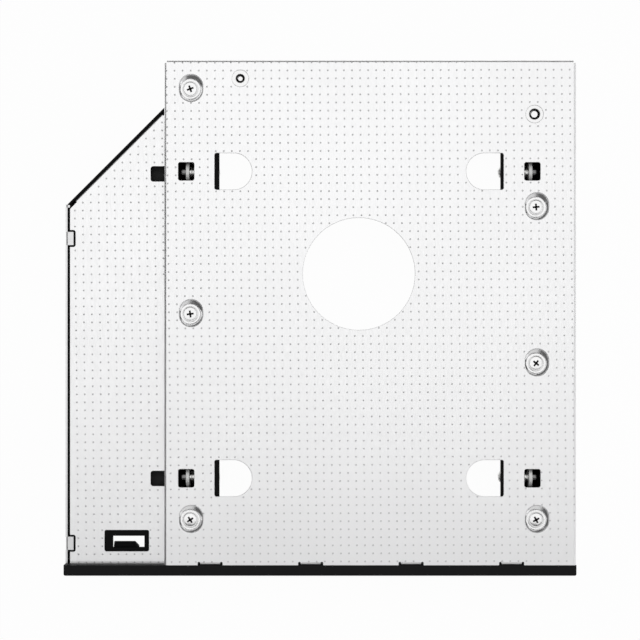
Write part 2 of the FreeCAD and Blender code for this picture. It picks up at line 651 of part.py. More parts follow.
def left_frame():
    """Moulding under the wing with the left drive rail, in one piece."""
    joined = LEFT_RAIL_OUTER + WALL
    shape = [
        (WING_LEFT, MOULD_FRONT, 0), (joined, MOULD_FRONT, 0), (joined, DIAGONAL_REAR, 0),
        (STEP, DIAGONAL_REAR, 0), (WING_LEFT, WING_CORNER, 0),
    ]
    wing = solid(shape, "z", SHEET + FIT, FLOOR_UNDER)
    rim = solid(shape, "z", FLOOR_UNDER - SKIN, FLOOR_TOP - FIT)
    floor = box(FLOOR_EDGE - FIT, RIGHT, FRONT, REAR, FLOOR_UNDER, HEIGHT)
    floor = floor.cut(outside_diagonal(FLANGE_INSET - FIT, 0, HEIGHT))
    low = FLOOR_TOP - FLANGE_HEIGHT - SLOT_GAP
    groove = [
        (-FLANGE_INSET + FIT, low, 0), (-FLANGE_INSET + FIT, HEIGHT, 0),
        (-FLANGE_INSET - SHEET - SLOT_GAP, HEIGHT, 0), (-FLANGE_INSET - SHEET - SLOT_GAP, low, 0),
    ]
    groove = diagonal_part(groove, BEND, DIAGONAL - BEND)
    inner = BEND - SHEET
    hooks = [box(LEFT, FLOOR_EDGE, y - length / 2 - gap, y + length / 2 + gap, FLOOR_UNDER - inner, HEIGHT)
             for y, length, _, gap in cover_hooks()]
    step = box(STEP - FIT, RIGHT, FRONT, REAR, FLOOR_UNDER, HEIGHT)
    edge = box(WING_LEFT, WING_LEFT + inner, FRONT, REAR, SHEET, SHEET + inner)
    body = cut(fuse([wing, rim]), [floor, groove, step, edge] + hooks)

    rail = box(LEFT_RAIL_OUTER, LEFT_FACE, MOULD_FRONT, REAR - SHEET - FIT, 0, PANEL_UNDER)
    rail_edge = box(LEFT_RAIL_OUTER, LEFT_RAIL_OUTER + BEND - SHEET, MOULD_FRONT, REAR,
                    PANEL_UNDER - BEND + SHEET, PANEL_UNDER)
    rail_end = box(LEFT_RAIL_OUTER, LEFT_FACE, REAR - BEND, REAR, PANEL_UNDER - BEND + SHEET, PANEL_UNDER)
    body = fuse([body, cut(rail, [rail_edge, rail_end])])

    latch = left_tongue_x()
    x0, x1 = LEFT_RAIL_OUTER + WALL, LEFT_FACE - LEDGE_REACH - WALL
    end = REAR - SHEET - FIT - BRACKET_BORE - WALL
    keep = screw_blocks(LEFT_SCREWS) + clamp_blocks(x0, x1)
    rail_hollows = pockets(x0, x1, MOULD_FRONT + WALL, end, -PAST, PANEL_UNDER - SKIN, keep)
    notches = [box(STEP - NOTCH_DEPTH - WALL, STEP, y - NOTCH_LENGTH, y + NOTCH_LENGTH, 0, HEIGHT) for y in CLAMP_YS]
    keep = notches + [latch_block(latch), outside_diagonal(FLANGE_INSET + SHEET + SLOT_GAP + WALL, 0, HEIGHT)]
    wing_hollows = pockets(WING_LEFT + WALL, STEP - WALL, MOULD_FRONT + WALL, DIAGONAL_REAR, 0,
                           FLOOR_UNDER - SKIN, keep)
    bores = [rod(BRACKET_HOLE_R + FIT, (x, REAR - BRACKET_BORE, BRACKET_HEIGHT), (0, 1, 0), BRACKET_BORE)
             for x in BRACKET_XS]
    tools = [rail_hollows, wing_hollows] + bores + screw_room(LEFT_SCREWS) + tongue_room(latch, TONGUE_TOP)
    tools += clamp_room("left", STEP - NOTCH_DEPTH) + [catch_flare(FLOOR_UNDER - SKIN, -PAST)]
    return cut(body, tools + [under_ledge(LEFT_FACE - LEDGE_REACH, LEFT_FACE + PAST)])


def right_rail():
    """Moulding between the drive and the right wall."""
    end = LUG_FRONT - RAIL_TO_BOARD
    rail = box(RIGHT_FACE, RIGHT_RAIL_OUTER, MOULD_FRONT, end, 0, PANEL_UNDER)
    rail_edge = box(RIGHT_RAIL_OUTER - BEND + SHEET, RIGHT_RAIL_OUTER, MOULD_FRONT, end,
                    PANEL_UNDER - BEND + SHEET, PANEL_UNDER)
    x0, x1 = RIGHT_FACE + LEDGE_REACH + WALL, RIGHT_RAIL_OUTER - WALL
    latch = RIGHT - RIGHT_TONGUE_FROM_RIGHT
    keep = screw_blocks(RIGHT_SCREWS) + clamp_blocks(x0, x1) + [latch_block(latch)]
    hollows = pockets(x0, x1, MOULD_FRONT + WALL, end - WALL, -PAST, PANEL_UNDER - SKIN, keep)
    tools = [rail_edge, hollows, under_ledge(RIGHT_FACE - PAST, RIGHT_FACE + LEDGE_REACH)]
    tools += screw_room(RIGHT_SCREWS) + tongue_room(latch, TONGUE_TOP)
    return cut(rail, tools + clamp_room("right", RIGHT))


def snap_tongue(x):
    """Tongue behind the bezel with a barb that catches in a moulding's opening."""
    half = TONGUE_WIDTH / 2
    root = FRONT - BEZEL_DEPTH + BEZEL_WALL - FIT
    tip = FRONT + TONGUE_REACH
    chamfer = TONGUE_WIDTH / 6
    shape = [(x - half, root, 0), (x + half, root, 0), (x + half, tip - chamfer, 0), (x + half - chamfer, tip, 0),
             (x - half, tip, 0)]
    blade = solid(shape, "z", TONGUE_TOP - TONGUE_THICK, TONGUE_TOP)
    barb = [(tip - BARB_LENGTH, TONGUE_TOP - FIT, 0), (tip, TONGUE_TOP - FIT, 0), (tip, TONGUE_TOP + FIT, 0),
            (tip - BARB_LENGTH, TONGUE_TOP + BARB_HEIGHT, 0)]
    return [blade, solid(barb, "x", x - half, x + half - chamfer)]


def bezel():
    """Black front moulding, hollow behind, with two snap tongues and a lip under the panel."""
    face = FRONT - BEZEL_DEPTH
    body = box(LEFT, RIGHT, face, FRONT, 0, HEIGHT)
    edges = [e for e in body.Edges if all(abs(v.Y - face) < 1e-6 for v in e.Vertexes)]
    body = body.makeFillet(BEZEL_ROUND, edges)
    w = BEZEL_WALL
    hollows = [box(a, b, face + w, FRONT + PAST, w, HEIGHT - w) for a, b in cells(LEFT + w, RIGHT - w, CELL)]
    above_wing = box(LEFT, LEFT_RAIL_OUTER, face, FRONT + PAST, FLOOR_UNDER, HEIGHT)
    hollows = [Part.makeCompound(hollows).cut([above_wing])]
    lips = []
    half = FRONT_TAB_WIDTH / 2 + FIT
    starts = [LEFT_RAIL_OUTER + BEND] + [x + half for x in TAB_XS]
    ends = [x - half for x in TAB_XS] + [RIGHT_RAIL_OUTER - BEND]
    for a, b in zip(starts, ends):
        lips.append(box(a, b, FRONT - w / 2, FRONT + LIP, PANEL_UNDER - FIT - LIP_THICK, PANEL_UNDER - FIT))
    tongues = snap_tongue(left_tongue_x()) + snap_tongue(RIGHT - RIGHT_TONGUE_FROM_RIGHT)
    return fuse([cut(body, hollows)] + lips + tongues)


def cross_recess(x, y, top):
    """Cutter for a cross-shaped driver recess that opens upwards."""
    a, b = CROSS_LENGTH / 2, CROSS_WIDTH / 2
    bars = [box(x - a, x + a, y - b, y + b, top - CROSS_DEPTH, top + PAST)]
    bars.append(box(x - b, x + b, y - a, y + a, top - CROSS_DEPTH, top + PAST))
    return bars


def base_screws():
    """Six washer-head screws that hold the panel to the mouldings, as a group of solids."""
    screws = []
    for x, y in PANEL_SCREWS:
        flange = rod(SCREW_FLANGE_R, (x, y, DISH_Z), (0, 0, 1), SCREW_FLANGE)
        boss = Part.makeCone(SCREW_BOSS_R, SCREW_BOSS_R - SCREW_BOSS / 2, SCREW_BOSS, V(x, y, DISH_Z + SCREW_FLANGE))
        shank = rod(SCREW_SHANK_R, (x, y, DISH_Z - SCREW_SHANK), (0, 0, 1), SCREW_SHANK)
        top = DISH_Z + SCREW_FLANGE + SCREW_BOSS
        screws.append(cut(fuse([flange, boss, shank]), cross_recess(x, y, top)))
    return Part.makeCompound(screws)


def clamp_screw(side, y):
    """Captive screw that reaches through a rail into the drive's side."""
    x, _, inward = clamp_side(side)
    head_x = x - inward * CLAMP_WASHER / 2
    neck_end = CLAMP_WASHER / 2 + NECK_CLEAR
    head = rod(CLAMP_HEAD_R, (head_x, y, CLAMP_Z), (-inward, 0, 0), CLAMP_HEAD)
    neck = rod(NECK_R, (head_x, y, CLAMP_Z), (inward, 0, 0), CLAMP_WASHER + NECK_CLEAR)
    taper = THREAD_R - NECK_R
    shank = rod(THREAD_R, (x + inward * neck_end, y, CLAMP_Z), (inward, 0, 0), SHANK - neck_end - taper)
    tip_x = x + inward * (SHANK - taper)
    tip = Part.makeCone(THREAD_R, NECK_R, taper, V(tip_x, y, CLAMP_Z), V(inward, 0, 0))
    end = head_x - inward * CLAMP_HEAD
    low, high = span(end - inward * PAST, end + inward * CROSS_DEPTH)
    a, b = CROSS_LENGTH / 2, CROSS_WIDTH / 2
    cross = [box(low, high, y - a, y + a, CLAMP_Z - b, CLAMP_Z + b)]
    cross.append(box(low, high, y - b, y + b, CLAMP_Z - a, CLAMP_Z + a))
    return cut(fuse([head, neck, shank, tip]), cross)


def clamp_washer(side, y):
    """Loose washer on the clamp screw's neck."""
    x, _, _ = clamp_side(side)
    start = (x - CLAMP_WASHER / 2, y, CLAMP_Z)
    disc = rod(CLAMP_WASHER_R, start, (1, 0, 0), CLAMP_WASHER)
    return cut(disc, [rod(NECK_R + RUNNING, start, (1, 0, 0), CLAMP_WASHER)])


def board_studs():
    """Standoffs clinched into the panel, flush with its outer face."""
    studs = []
    low = BOARD_Z + BOARD / 2
    for x, y, collar, bore in STUDS:
        body = rod(STUD_BODY_R, (x, y, low), (0, 0, 1), PANEL_UNDER - low)
        flush = rod(collar, (x, y, PANEL_UNDER - FIT), (0, 0, 1), SHEET + FIT - STUD_RECESS)
        studs.append(cut(fuse([body, flush]), [rod(bore, (x, y, low), (0, 0, 1), HEIGHT)]))
    return Part.makeCompound(studs)


def board_screws():
    """Screws that hold the board to its standoffs, entered from the open side."""
    screws = []
    low = BOARD_Z - BOARD / 2
    for x, y, _, bore in STUDS:
        head = rod(BOARD_SCREW_HEAD_R, (x, y, low - BOARD_SCREW_HEAD), (0, 0, 1), BOARD_SCREW_HEAD)
        shank = rod(bore - FIT, (x, y, low), (0, 0, 1), HEIGHT - BOARD_SCREW_STOP - low)
        a, b = CROSS_LENGTH / 2, CROSS_WIDTH / 2
        z0, z1 = low - BOARD_SCREW_HEAD - PAST, low - BOARD_SCREW_HEAD + CROSS_WIDTH
        cross = [box(x - a, x + a, y - b, y + b, z0, z1), box(x - b, x + b, y - a, y + a, z0, z1)]
        screws.append(cut(fuse([head, shank]), cross))
    return Part.makeCompound(screws)


def circuit_board():
    """Board between the drive's receptacle and the rear plug, with a lug to the right-hand standoff."""
    low, high = BOARD_Z - BOARD / 2, BOARD_Z + BOARD / 2
    left, right = LEFT_FACE + BOARD_SIDE_GAP, STUDS[1][0] + BOARD_LUG_SIDE
    back, front = REAR - SHEET - BOARD_REAR_GAP, RECEPTACLE_BACK
    lug, r = RIGHT_FACE + BOARD_SIDE_GAP, BOARD_CORNER
    shape = [
        (left, front, 0), (lug, front, 0), (lug, LUG_FRONT, 0), (right, LUG_FRONT, r), (right, back, r),
        (left, back, r),
    ]
    board = solid(shape, "z", low, high)
    half = REAR_PLUG_WIDTH / 2 + SLOT_GAP
    tools = [box(REAR_PLUG_X - half, REAR_PLUG_X + half, REAR - REAR_PLUG_DEPTH, REAR, low, high)]
    for x, y, _, bore in STUDS:
        tools.append(rod(bore + BOARD_HOLE_GAP, (x, y, low), (0, 0, 1), BOARD))
    return cut(board, tools)


def slot_starts():
    """Left end and number of contacts of the receptacle's two slots."""
    signal = (SIGNAL_PINS - 1) * PIN_PITCH + 2 * SLOT_MARGIN
    power = (POWER_PINS - 1) * PIN_PITCH + 2 * SLOT_MARGIN
    start = RECEPTACLE_X - (signal + SLOT_DIVIDER_WIDTH + power) / 2
    return [(start, SIGNAL_PINS, signal), (start + signal + SLOT_DIVIDER_WIDTH, POWER_PINS, power)]


def receptacle_contacts():
    """Spring contacts of the receptacle, each with a tail on the board."""
    pins = []
    mouth, back = RECEPTACLE_MOUTH, RECEPTACLE_BACK
    z = BOARD_Z + BOARD / 2
    for start, count, _ in slot_starts():
        for i in range(count):
            x = start + SLOT_MARGIN + i * PIN_PITCH
            pins.append(box(x - PIN_WIDTH / 2, x + PIN_WIDTH / 2, mouth + SLOT_GAP, back + PIN_TAIL, z, z + PIN_THICK))
    return Part.makeCompound(pins)


def drive_receptacle():
    """Housing that the drive plugs into, with two keyed slots."""
    x, half = RECEPTACLE_X, RECEPTACLE_WIDTH / 2
    mouth, back = RECEPTACLE_MOUTH, RECEPTACLE_BACK
    tall = RECEPTACLE_HEIGHT / 2
    body = box(x - half, x + half, mouth, back, BOARD_Z - tall, BOARD_Z + tall)
    tools = []
    high = BOARD_Z + BOARD / 2 + PIN_THICK
    for start, _, width in slot_starts():
        tools.append(box(start, start + width, mouth, mouth + SLOT_DEPTH, high - SLOT_HEIGHT, high))
        tools.append(box(start, start + SLOT_KEY, mouth, mouth + SLOT_DEPTH, high - SLOT_HEIGHT - SLOT_KEY, high))
    return cut(body, tools + receptacle_contacts().Solids)


def rear_tongues():
    """Left end, number of contacts and width of the rear plug's two tongues."""
    signal = (REAR_SIGNAL_PINS - 1) * REAR_PIN_PITCH + 2 * REAR_TONGUE_MARGIN
    power = (REAR_POWER_PINS - 1) * REAR_PIN_PITCH + 2 * REAR_TONGUE_MARGIN
    start = REAR_PLUG_X - (signal + REAR_TONGUE_DIVIDER_WIDTH + power) / 2
    return [(start, REAR_SIGNAL_PINS, signal), (start + signal + REAR_TONGUE_DIVIDER_WIDTH, REAR_POWER_PINS, power)]


def rear_plug_contacts():
    """Contact strips on the rear plug's tongues, each with a tail on the board."""
    pins = []
    z = BOARD_Z + BOARD / 2
    front = REAR - REAR_PLUG_DEPTH - PIN_TAIL
    for start, count, _ in rear_tongues():
        for i in range(count):
            x = start + REAR_TONGUE_MARGIN + i * REAR_PIN_PITCH
            end = REAR - 2 * REAR_TONGUE_BACK
            pins.append(box(x - PIN_WIDTH / 2, x + PIN_WIDTH / 2, front, end, z, z + PIN_THICK))
    return Part.makeCompound(pins)


def rear_plug():
    """Shroud in the rear wall with two tongues for the bay's socket."""
    x, half, tall = REAR_PLUG_X, REAR_PLUG_WIDTH / 2, REAR_PLUG_HEIGHT / 2
    start = REAR - REAR_PLUG_DEPTH
    body = box(x - half, x + half, start, REAR, BOARD_Z - tall, BOARD_Z + tall)
    w = SHROUD_WALL
    cavity = box(x - half + w, x + half - w, start + SHROUD_BACK, REAR, BOARD_Z - tall + w, BOARD_Z + tall - w)
    high = BOARD_Z + BOARD / 2 + PIN_THICK / 2
    tongues = [box(a, a + width, start + SHROUD_BACK / 2, REAR - REAR_TONGUE_BACK, high - REAR_TONGUE_THICK, high)
               for a, _, width in rear_tongues()]
    return cut(fuse([cut(body, [cavity])] + tongues), rear_plug_contacts().Solids)


def board_capacitors():
    """Row of chip capacitors on the board's open side."""
    low = BOARD_Z - BOARD / 2
    chips = []
    for i in range(CAPACITOR_COUNT):
        x = RIGHT_FACE - CAPACITOR_ROW_FROM_FACE + (i - (CAPACITOR_COUNT - 1) / 2) * CAPACITOR_PITCH
        y = REAR - CAPACITOR_ROW_FROM_REAR
        chips.append(box(x - CAPACITOR_WIDTH / 2, x + CAPACITOR_WIDTH / 2, y - CAPACITOR_LENGTH / 2,
                         y + CAPACITOR_LENGTH / 2, low - CAPACITOR_HEIGHT, low))
    return Part.makeCompound(chips)


def write(name, shape):
    if not shape.isValid() or any(s.Volume <= 0 for s in shape.Solids):
        raise ValueError(name + " is not a valid solid")
    print(name, "solids", len(shape.Solids), "volume", round(shape.Volume, 2))
    shape.exportStep(os.path.join("parts", name + ".step"))


def main():
    os.makedirs("parts", exist_ok=True)
    pieces = {
        "base_plate": base_plate(),
        "side_cover": side_cover(),
        "left_frame": left_frame(),
        "right_rail": right_rail(),
        "bezel": bezel(),
        "base_screws": base_screws(),
        "circuit_board": circuit_board(),
        "board_studs": board_studs(),
        "board_screws": board_screws(),
        "board_capacitors": board_capacitors(),
        "drive_receptacle": drive_receptacle(),
        "receptacle_contacts": receptacle_contacts(),
        "rear_plug": rear_plug(),
        "rear_plug_contacts": rear_plug_contacts(),
    }
    for end, y in zip(("rear", "front"), CLAMP_YS):
        for side in ("left", "right"):
            pieces["clamp_screw_" + end + "_" + side] = clamp_screw(side, y)
            pieces["clamp_washer_" + end + "_" + side] = clamp_washer(side, y)
    for name, shape in pieces.items():
        write(name, shape)


main()
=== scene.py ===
"""Looks of a slim-bay drive caddy: dimpled sheet, black mouldings, screws, board and connectors."""

import logging
import math
from collections.abc import Iterable
from dataclasses import dataclass, field
from enum import Enum

import bmesh
import bpy
from mathutils import Matrix, Vector
from mathutils.bvhtree import BVHTree


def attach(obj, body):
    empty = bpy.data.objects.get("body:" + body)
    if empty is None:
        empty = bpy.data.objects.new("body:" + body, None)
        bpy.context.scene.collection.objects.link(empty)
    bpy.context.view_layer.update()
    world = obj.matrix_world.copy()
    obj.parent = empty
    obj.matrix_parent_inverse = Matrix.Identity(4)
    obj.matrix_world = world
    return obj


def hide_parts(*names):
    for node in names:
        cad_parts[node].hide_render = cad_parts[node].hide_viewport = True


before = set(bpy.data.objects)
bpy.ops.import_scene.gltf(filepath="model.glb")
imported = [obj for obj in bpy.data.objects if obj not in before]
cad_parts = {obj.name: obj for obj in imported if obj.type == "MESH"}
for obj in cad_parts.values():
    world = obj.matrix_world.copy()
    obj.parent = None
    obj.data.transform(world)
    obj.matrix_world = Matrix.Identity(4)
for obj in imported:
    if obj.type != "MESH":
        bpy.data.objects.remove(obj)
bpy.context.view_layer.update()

MM = 0.001
UP = Vector((0.0, 0.0, 1.0))
CADDY = "caddy"
# Sockets of Blender's Mix node when it mixes colours.
MIX_FACTOR, MIX_FIRST, MIX_SECOND, MIX_RESULT = 0, 6, 7, 2
# Material numbers of the faces that don't have their piece's first finish.
RECESS_FACES = 1
SOLDER_FACES = 1
HEAD_FACES = 2
Triple = tuple[float, float, float]
log = logging.getLogger("caddy")


def mm(x: float, y: float, z: float) -> Vector:
    """Turns millimetres into a point in metres."""
    return Vector((x, y, z)) * MM


class Grain(Enum):
    """Way that the fine marks on a surface run, as the pattern's scale along X, Y and Z."""

    EVEN = (1.0, 1.0, 1.0)
    ROLLED = (1.0, 0.09, 1.0)
    DRAWN = (0.12, 1.0, 1.0)


class MaterialTree:
    """Node tree of one new material, with short calls for the nodes that the finishes share."""

    def __init__(self, name: str) -> None:
        """Starts an empty tree.

        Args:
            name: the material's name.
        """
        self.material = bpy.data.materials.new(name)
        self.material.use_nodes = True
        self.tree = self.material.node_tree
        self.tree.nodes.clear()
        self.place = self.add("ShaderNodeTexCoord").outputs["Object"]

    def add(self, kind: str, **settings: object) -> bpy.types.Node:
        """Adds a node.

        Args:
            kind: Blender's name of the node type.
            settings: the node's own properties.

        Returns:
            The new node.
        """
        node = self.tree.nodes.new(kind)
        for key, value in settings.items():
            setattr(node, key, value)
        return node

    def join(self, source: bpy.types.NodeSocket, target: bpy.types.NodeSocket) -> None:
        """Links two sockets."""
        self.tree.links.new(source, target)

    def noise(self, scale: float, stretch: Triple = (1.0, 1.0, 1.0),
              detail: float = 3.0) -> bpy.types.NodeSocket:
        """Noise on the object's own coordinates.

        Args:
            scale: patches per metre.
            stretch: factor on that scale along each axis.
            detail: number of finer octaves.

        Returns:
            The noise's value, about a half on average.
        """
        mapping = self.add("ShaderNodeMapping")
        mapping.inputs["Scale"].default_value = stretch
        self.join(self.place, mapping.inputs["Vector"])
        noise = self.add("ShaderNodeTexNoise")
        noise.inputs["Scale"].default_value = scale
        noise.inputs["Detail"].default_value = detail
        self.join(mapping.outputs["Vector"], noise.inputs["Vector"])
        return noise.outputs["Fac"]

    def spread(self, value: bpy.types.NodeSocket, low: float, high: float, start: float = 0.3,
               end: float = 0.7) -> bpy.types.NodeSocket:
        """Spreads part of a value's range over another range.

        Args:
            value: the value, such as a noise.
            low: result at the part's start and before it.
            high: result at the part's end and past it.
            start: where the part starts.
            end: where the part ends.

        Returns:
            The spread value.
        """
        node = self.add("ShaderNodeMapRange")
        self.join(value, node.inputs["Value"])
        for name, number in (("From Min", start), ("From Max", end), ("To Min", low), ("To Max", high)):
            node.inputs[name].default_value = number
        return node.outputs["Result"]

    def larger(self, first: bpy.types.NodeSocket, second: bpy.types.NodeSocket) -> bpy.types.NodeSocket:
        """Larger of two values.

        Args:
            first: one value.
            second: the other.

        Returns:
            The larger one.
        """
        node = self.add("ShaderNodeMath", operation="MAXIMUM")
        self.join(first, node.inputs[0])
        self.join(second, node.inputs[1])
        return node.outputs[0]

    def vector(self, operation: str, value: bpy.types.NodeSocket,
               other: Triple = (0.0, 0.0, 0.0)) -> bpy.types.Node:
        """Adds one step of vector arithmetic.

        Args:
            operation: Blender's name of the step.
            value: its first input.
            other: its second input, where it has one.

        Returns:
            The new node.
        """
        node = self.add("ShaderNodeVectorMath", operation=operation)
        self.join(value, node.inputs[0])
        node.inputs[1].default_value = other
        return node

    def blend(self, factor: bpy.types.NodeSocket, first: Triple | bpy.types.NodeSocket,
              second: Triple) -> bpy.types.NodeSocket:
        """Mixes two colours.

        Args:
            factor: share of the second colour.
            first: first colour, linear, or the socket that gives it.
            second: second colour, linear.

        Returns:
            The mixed colour.
        """
        node = self.add("ShaderNodeMix", data_type="RGBA")
        self.join(factor, node.inputs[MIX_FACTOR])
        if isinstance(first, bpy.types.NodeSocket):
            self.join(first, node.inputs[MIX_FIRST])
        else:
            node.inputs[MIX_FIRST].default_value = (*first, 1.0)
        node.inputs[MIX_SECOND].default_value = (*second, 1.0)
        return node.outputs[MIX_RESULT]

    def bump(self, height: bpy.types.NodeSocket, depth: float,
             under: bpy.types.NodeSocket | None = None) -> bpy.types.NodeSocket:
        """Turns a height into a normal.

        Args:
            height: the pattern.
            depth: its depth in metres.
            under: normal of a coarser pattern below this one.

        Returns:
            The normal.
        """
        node = self.add("ShaderNodeBump")
        node.inputs["Distance"].default_value = depth
        self.join(height, node.inputs["Height"])
        if under is not None:
            self.join(under, node.inputs["Normal"])
        return node.outputs["Normal"]

    def surface(self, shader: bpy.types.Node) -> bpy.types.Material:
        """Ends the tree with a shader.

        Args:
            shader: the shader.

        Returns:
            The finished material.
        """
        output = self.add("ShaderNodeOutputMaterial")
        self.join(shader.outputs[0], output.inputs["Surface"])
        return self.material


@dataclass(frozen=True)
class Finish:
    """One surface finish: colour with soft blotches, gloss that varies, and a fine grain.

    Lengths of the patterns are in patches per metre, and depths in metres.
    """

    name: str
    colour: Triple
    roughness: float
    metallic: float = 0.0
    specular: float = 0.5
    blotch: float = 0.06
    blotch_scale: float = 90.0
    gloss_spread: float = 0.05
    grain: Grain = Grain.EVEN
    grain_scale: float = 2500.0
    grain_depth: float = 4e-6

    def material(self) -> bpy.types.Material:
        """Builds the material.

        Returns:
            The new material.
        """
        tree = MaterialTree(self.name)
        shader = tree.add("ShaderNodeBsdfPrincipled")
        shader.inputs["Metallic"].default_value = self.metallic
        shader.inputs["Specular IOR Level"].default_value = self.specular
        self.paint(tree, shader)
        return tree.surface(shader)

    def paint(self, tree: MaterialTree, shader: bpy.types.Node) -> None:
        """Joins colour, roughness and grain to the shader.

        Args:
            tree: the material's tree.
            shader: its shader.
        """
        blotches = tree.spread(tree.noise(self.blotch_scale), 0.0, 1.0)
        dark = tuple(c * (1 - self.blotch) for c in self.colour)
        tree.join(tree.blend(blotches, dark, self.colour), shader.inputs["Base Color"])
        grain = tree.noise(self.grain_scale, self.grain.value, 4.0)
        gloss = tree.spread(grain, self.roughness - self.gloss_spread, self.roughness + self.gloss_spread)
        tree.join(gloss, shader.inputs["Roughness"])
        tree.join(tree.bump(grain, self.grain_depth), shader.inputs["Normal"])


@dataclass(frozen=True)
class BoardFinish(Finish):
    """Solder mask over copper tracks that show as raised, lighter bands."""

    copper: Triple = (0.035, 0.17, 0.06)
    track_scale: float = 520.0
    track_depth: float = 1.5e-5

    def paint(self, tree: MaterialTree, shader: bpy.types.Node) -> None:
        """Joins the mask's colour and the tracks to the shader.

        Args:
            tree: the material's tree.
            shader: its shader.
        """
        tracks = tree.add("ShaderNodeTexBrick", offset=0.5, squash=1.0)
        tree.join(tree.place, tracks.inputs["Vector"])
        settings = {"Scale": self.track_scale, "Mortar Size": 0.12, "Mortar Smooth": 0.3, "Brick Width": 2.6,
                    "Row Height": 0.42, "Bias": 0.0}
        for key, value in settings.items():
            tracks.inputs[key].default_value = value
        tree.join(tree.blend(tracks.outputs["Fac"], self.colour, self.copper), shader.inputs["Base Color"])
        gloss = tree.spread(tree.noise(self.grain_scale), self.roughness - self.gloss_spread,
                            self.roughness + self.gloss_spread)
        tree.join(gloss, shader.inputs["Roughness"])
        tree.join(tree.bump(tracks.outputs["Fac"], self.track_depth), shader.inputs["Normal"])


@dataclass(frozen=True)
class LitChannelFinish(Finish):
    """Black moulding whose driver channels are painted a lighter grey: painted light where the lamps reach
    the channels' floors.
    """

    # Lighter grey for the driver channels: painted light, not a colour of the plastic.
    channel_light: Triple = (0.035, 0.035, 0.036)
    rear_channel: tuple[float, float] = (-0.0410, 0.0363)
    front_channel: tuple[float, float] = (-0.0410, -0.0404)
    reach: tuple[float, float] = (0.0031, 0.0027)
    fade: tuple[float, float] = (0.85, 1.1)

    def paint(self, tree: MaterialTree, shader: bpy.types.Node) -> None:
        """Joins colour, the channels' painted light, roughness and grain to the shader.

        Args:
            tree: the material's tree.
            shader: its shader.
        """
        super().paint(tree, shader)
        plain = shader.inputs["Base Color"].links[0].from_socket
        # Painted light: the channels are blended towards the lighter grey.
        lit_channels = tree.larger(self.channel(tree, *self.rear_channel), self.channel(tree, *self.front_channel))
        tree.join(tree.blend(lit_channels, plain, self.channel_light), shader.inputs["Base Color"])

    def channel(self, tree: MaterialTree, x: float, y: float) -> bpy.types.NodeSocket:
        """Mask of one channel that fades out at its edges.

        Args:
            tree: the material's tree.
            x: middle of the channel's open stretch across the caddy.
            y: its axis along the caddy.

        Returns:
            One inside the channel and zero outside.
        """
        offset = tree.vector("SUBTRACT", tree.place, (x, y, 0.0)).outputs["Vector"]
        share = tree.vector("DIVIDE", offset, (*self.reach, 1.0)).outputs["Vector"]
        away = tree.vector("LENGTH", share).outputs["Value"]
        return tree.spread(away, 1.0, 0.0, *self.fade)


@dataclass(frozen=True)
class FloorFinish:
    """Pale floor that looks white and keeps the object's shadow."""

    name: str = "pale_floor"
    colour: Triple = (0.9, 0.9, 0.9)
    patch: float = 0.985
    patch_scale: float = 40.0
    own_light: float = 0.97

    def material(self) -> bpy.types.Material:
        """Builds the material: a matt floor, lifted to white for the rays that show a background.

        Returns:
            The new material.
        """
        tree = MaterialTree(self.name)
        matt = tree.add("ShaderNodeBsdfDiffuse")
        patches = tree.spread(tree.noise(self.patch_scale), 0.0, 1.0)
        dim = tuple(c * self.patch for c in self.colour)
        tree.join(tree.blend(patches, dim, self.colour), matt.inputs["Color"])
        white = tree.add("ShaderNodeEmission")
        rays = tree.add("ShaderNodeLightPath")
        seen = rays.outputs["Is Camera Ray"]
        for name in ("Is Glossy Ray", "Is Transmission Ray"):
            seen = tree.larger(seen, rays.outputs[name])
        share = tree.add("ShaderNodeMath", operation="MULTIPLY")
        tree.join(seen, share.inputs[0])
        share.inputs[1].default_value = self.own_light
        mix = tree.add("ShaderNodeMixShader")
        tree.join(share.outputs[0], mix.inputs[0])
        tree.join(matt.outputs[0], mix.inputs[1])
        tree.join(white.outputs[0], mix.inputs[2])
        return tree.surface(mix)


SHEET = Finish("dimpled_sheet", (0.93, 0.93, 0.935), 0.36, metallic=1.0, blotch=0.03, blotch_scale=35.0,
               gloss_spread=0.04, grain=Grain.ROLLED, grain_scale=5200.0, grain_depth=1.5e-6)
COVER = Finish("plain_sheet", (0.75, 0.75, 0.755), 0.33, metallic=1.0, blotch=0.03, blotch_scale=35.0,
               gloss_spread=0.04, grain=Grain.DRAWN, grain_scale=5200.0, grain_depth=1.5e-6)
# Darker than the sheet: painted shade on the dimples, in place of the shading of their slopes.
DIMPLE_SHADE = Finish("dimple_painted_shade", (0.74, 0.74, 0.745), 0.42, metallic=1.0, blotch=0.03, blotch_scale=35.0,
                gloss_spread=0.04, grain=Grain.ROLLED, grain_scale=5200.0, grain_depth=1.5e-6)
DISH = Finish("pressed_dish", (0.93, 0.93, 0.935), 0.2, metallic=1.0, blotch=0.03, blotch_scale=200.0,
              gloss_spread=0.04, grain_scale=5200.0, grain_depth=1e-6)
# Black moulding with painted light: a lighter grey in the driver channels, where light falls on their floors.
FRAME_PLASTIC = LitChannelFinish("black_moulding", (0.004, 0.004, 0.0042), 0.6, specular=0.1, blotch=0.15,
                              grain_scale=3600.0, grain_depth=8e-6)
BEZEL_PLASTIC = Finish("bezel_moulding", (0.009, 0.009, 0.0095), 0.55, specular=0.14, blotch=0.12,
                       grain_scale=4200.0, grain_depth=9e-6)
SCREW_STEEL = Finish("screw_steel", (0.86, 0.86, 0.86), 0.22, metallic=1.0, blotch=0.05, blotch_scale=500.0,
                     grain_scale=6000.0, grain_depth=1.5e-6)
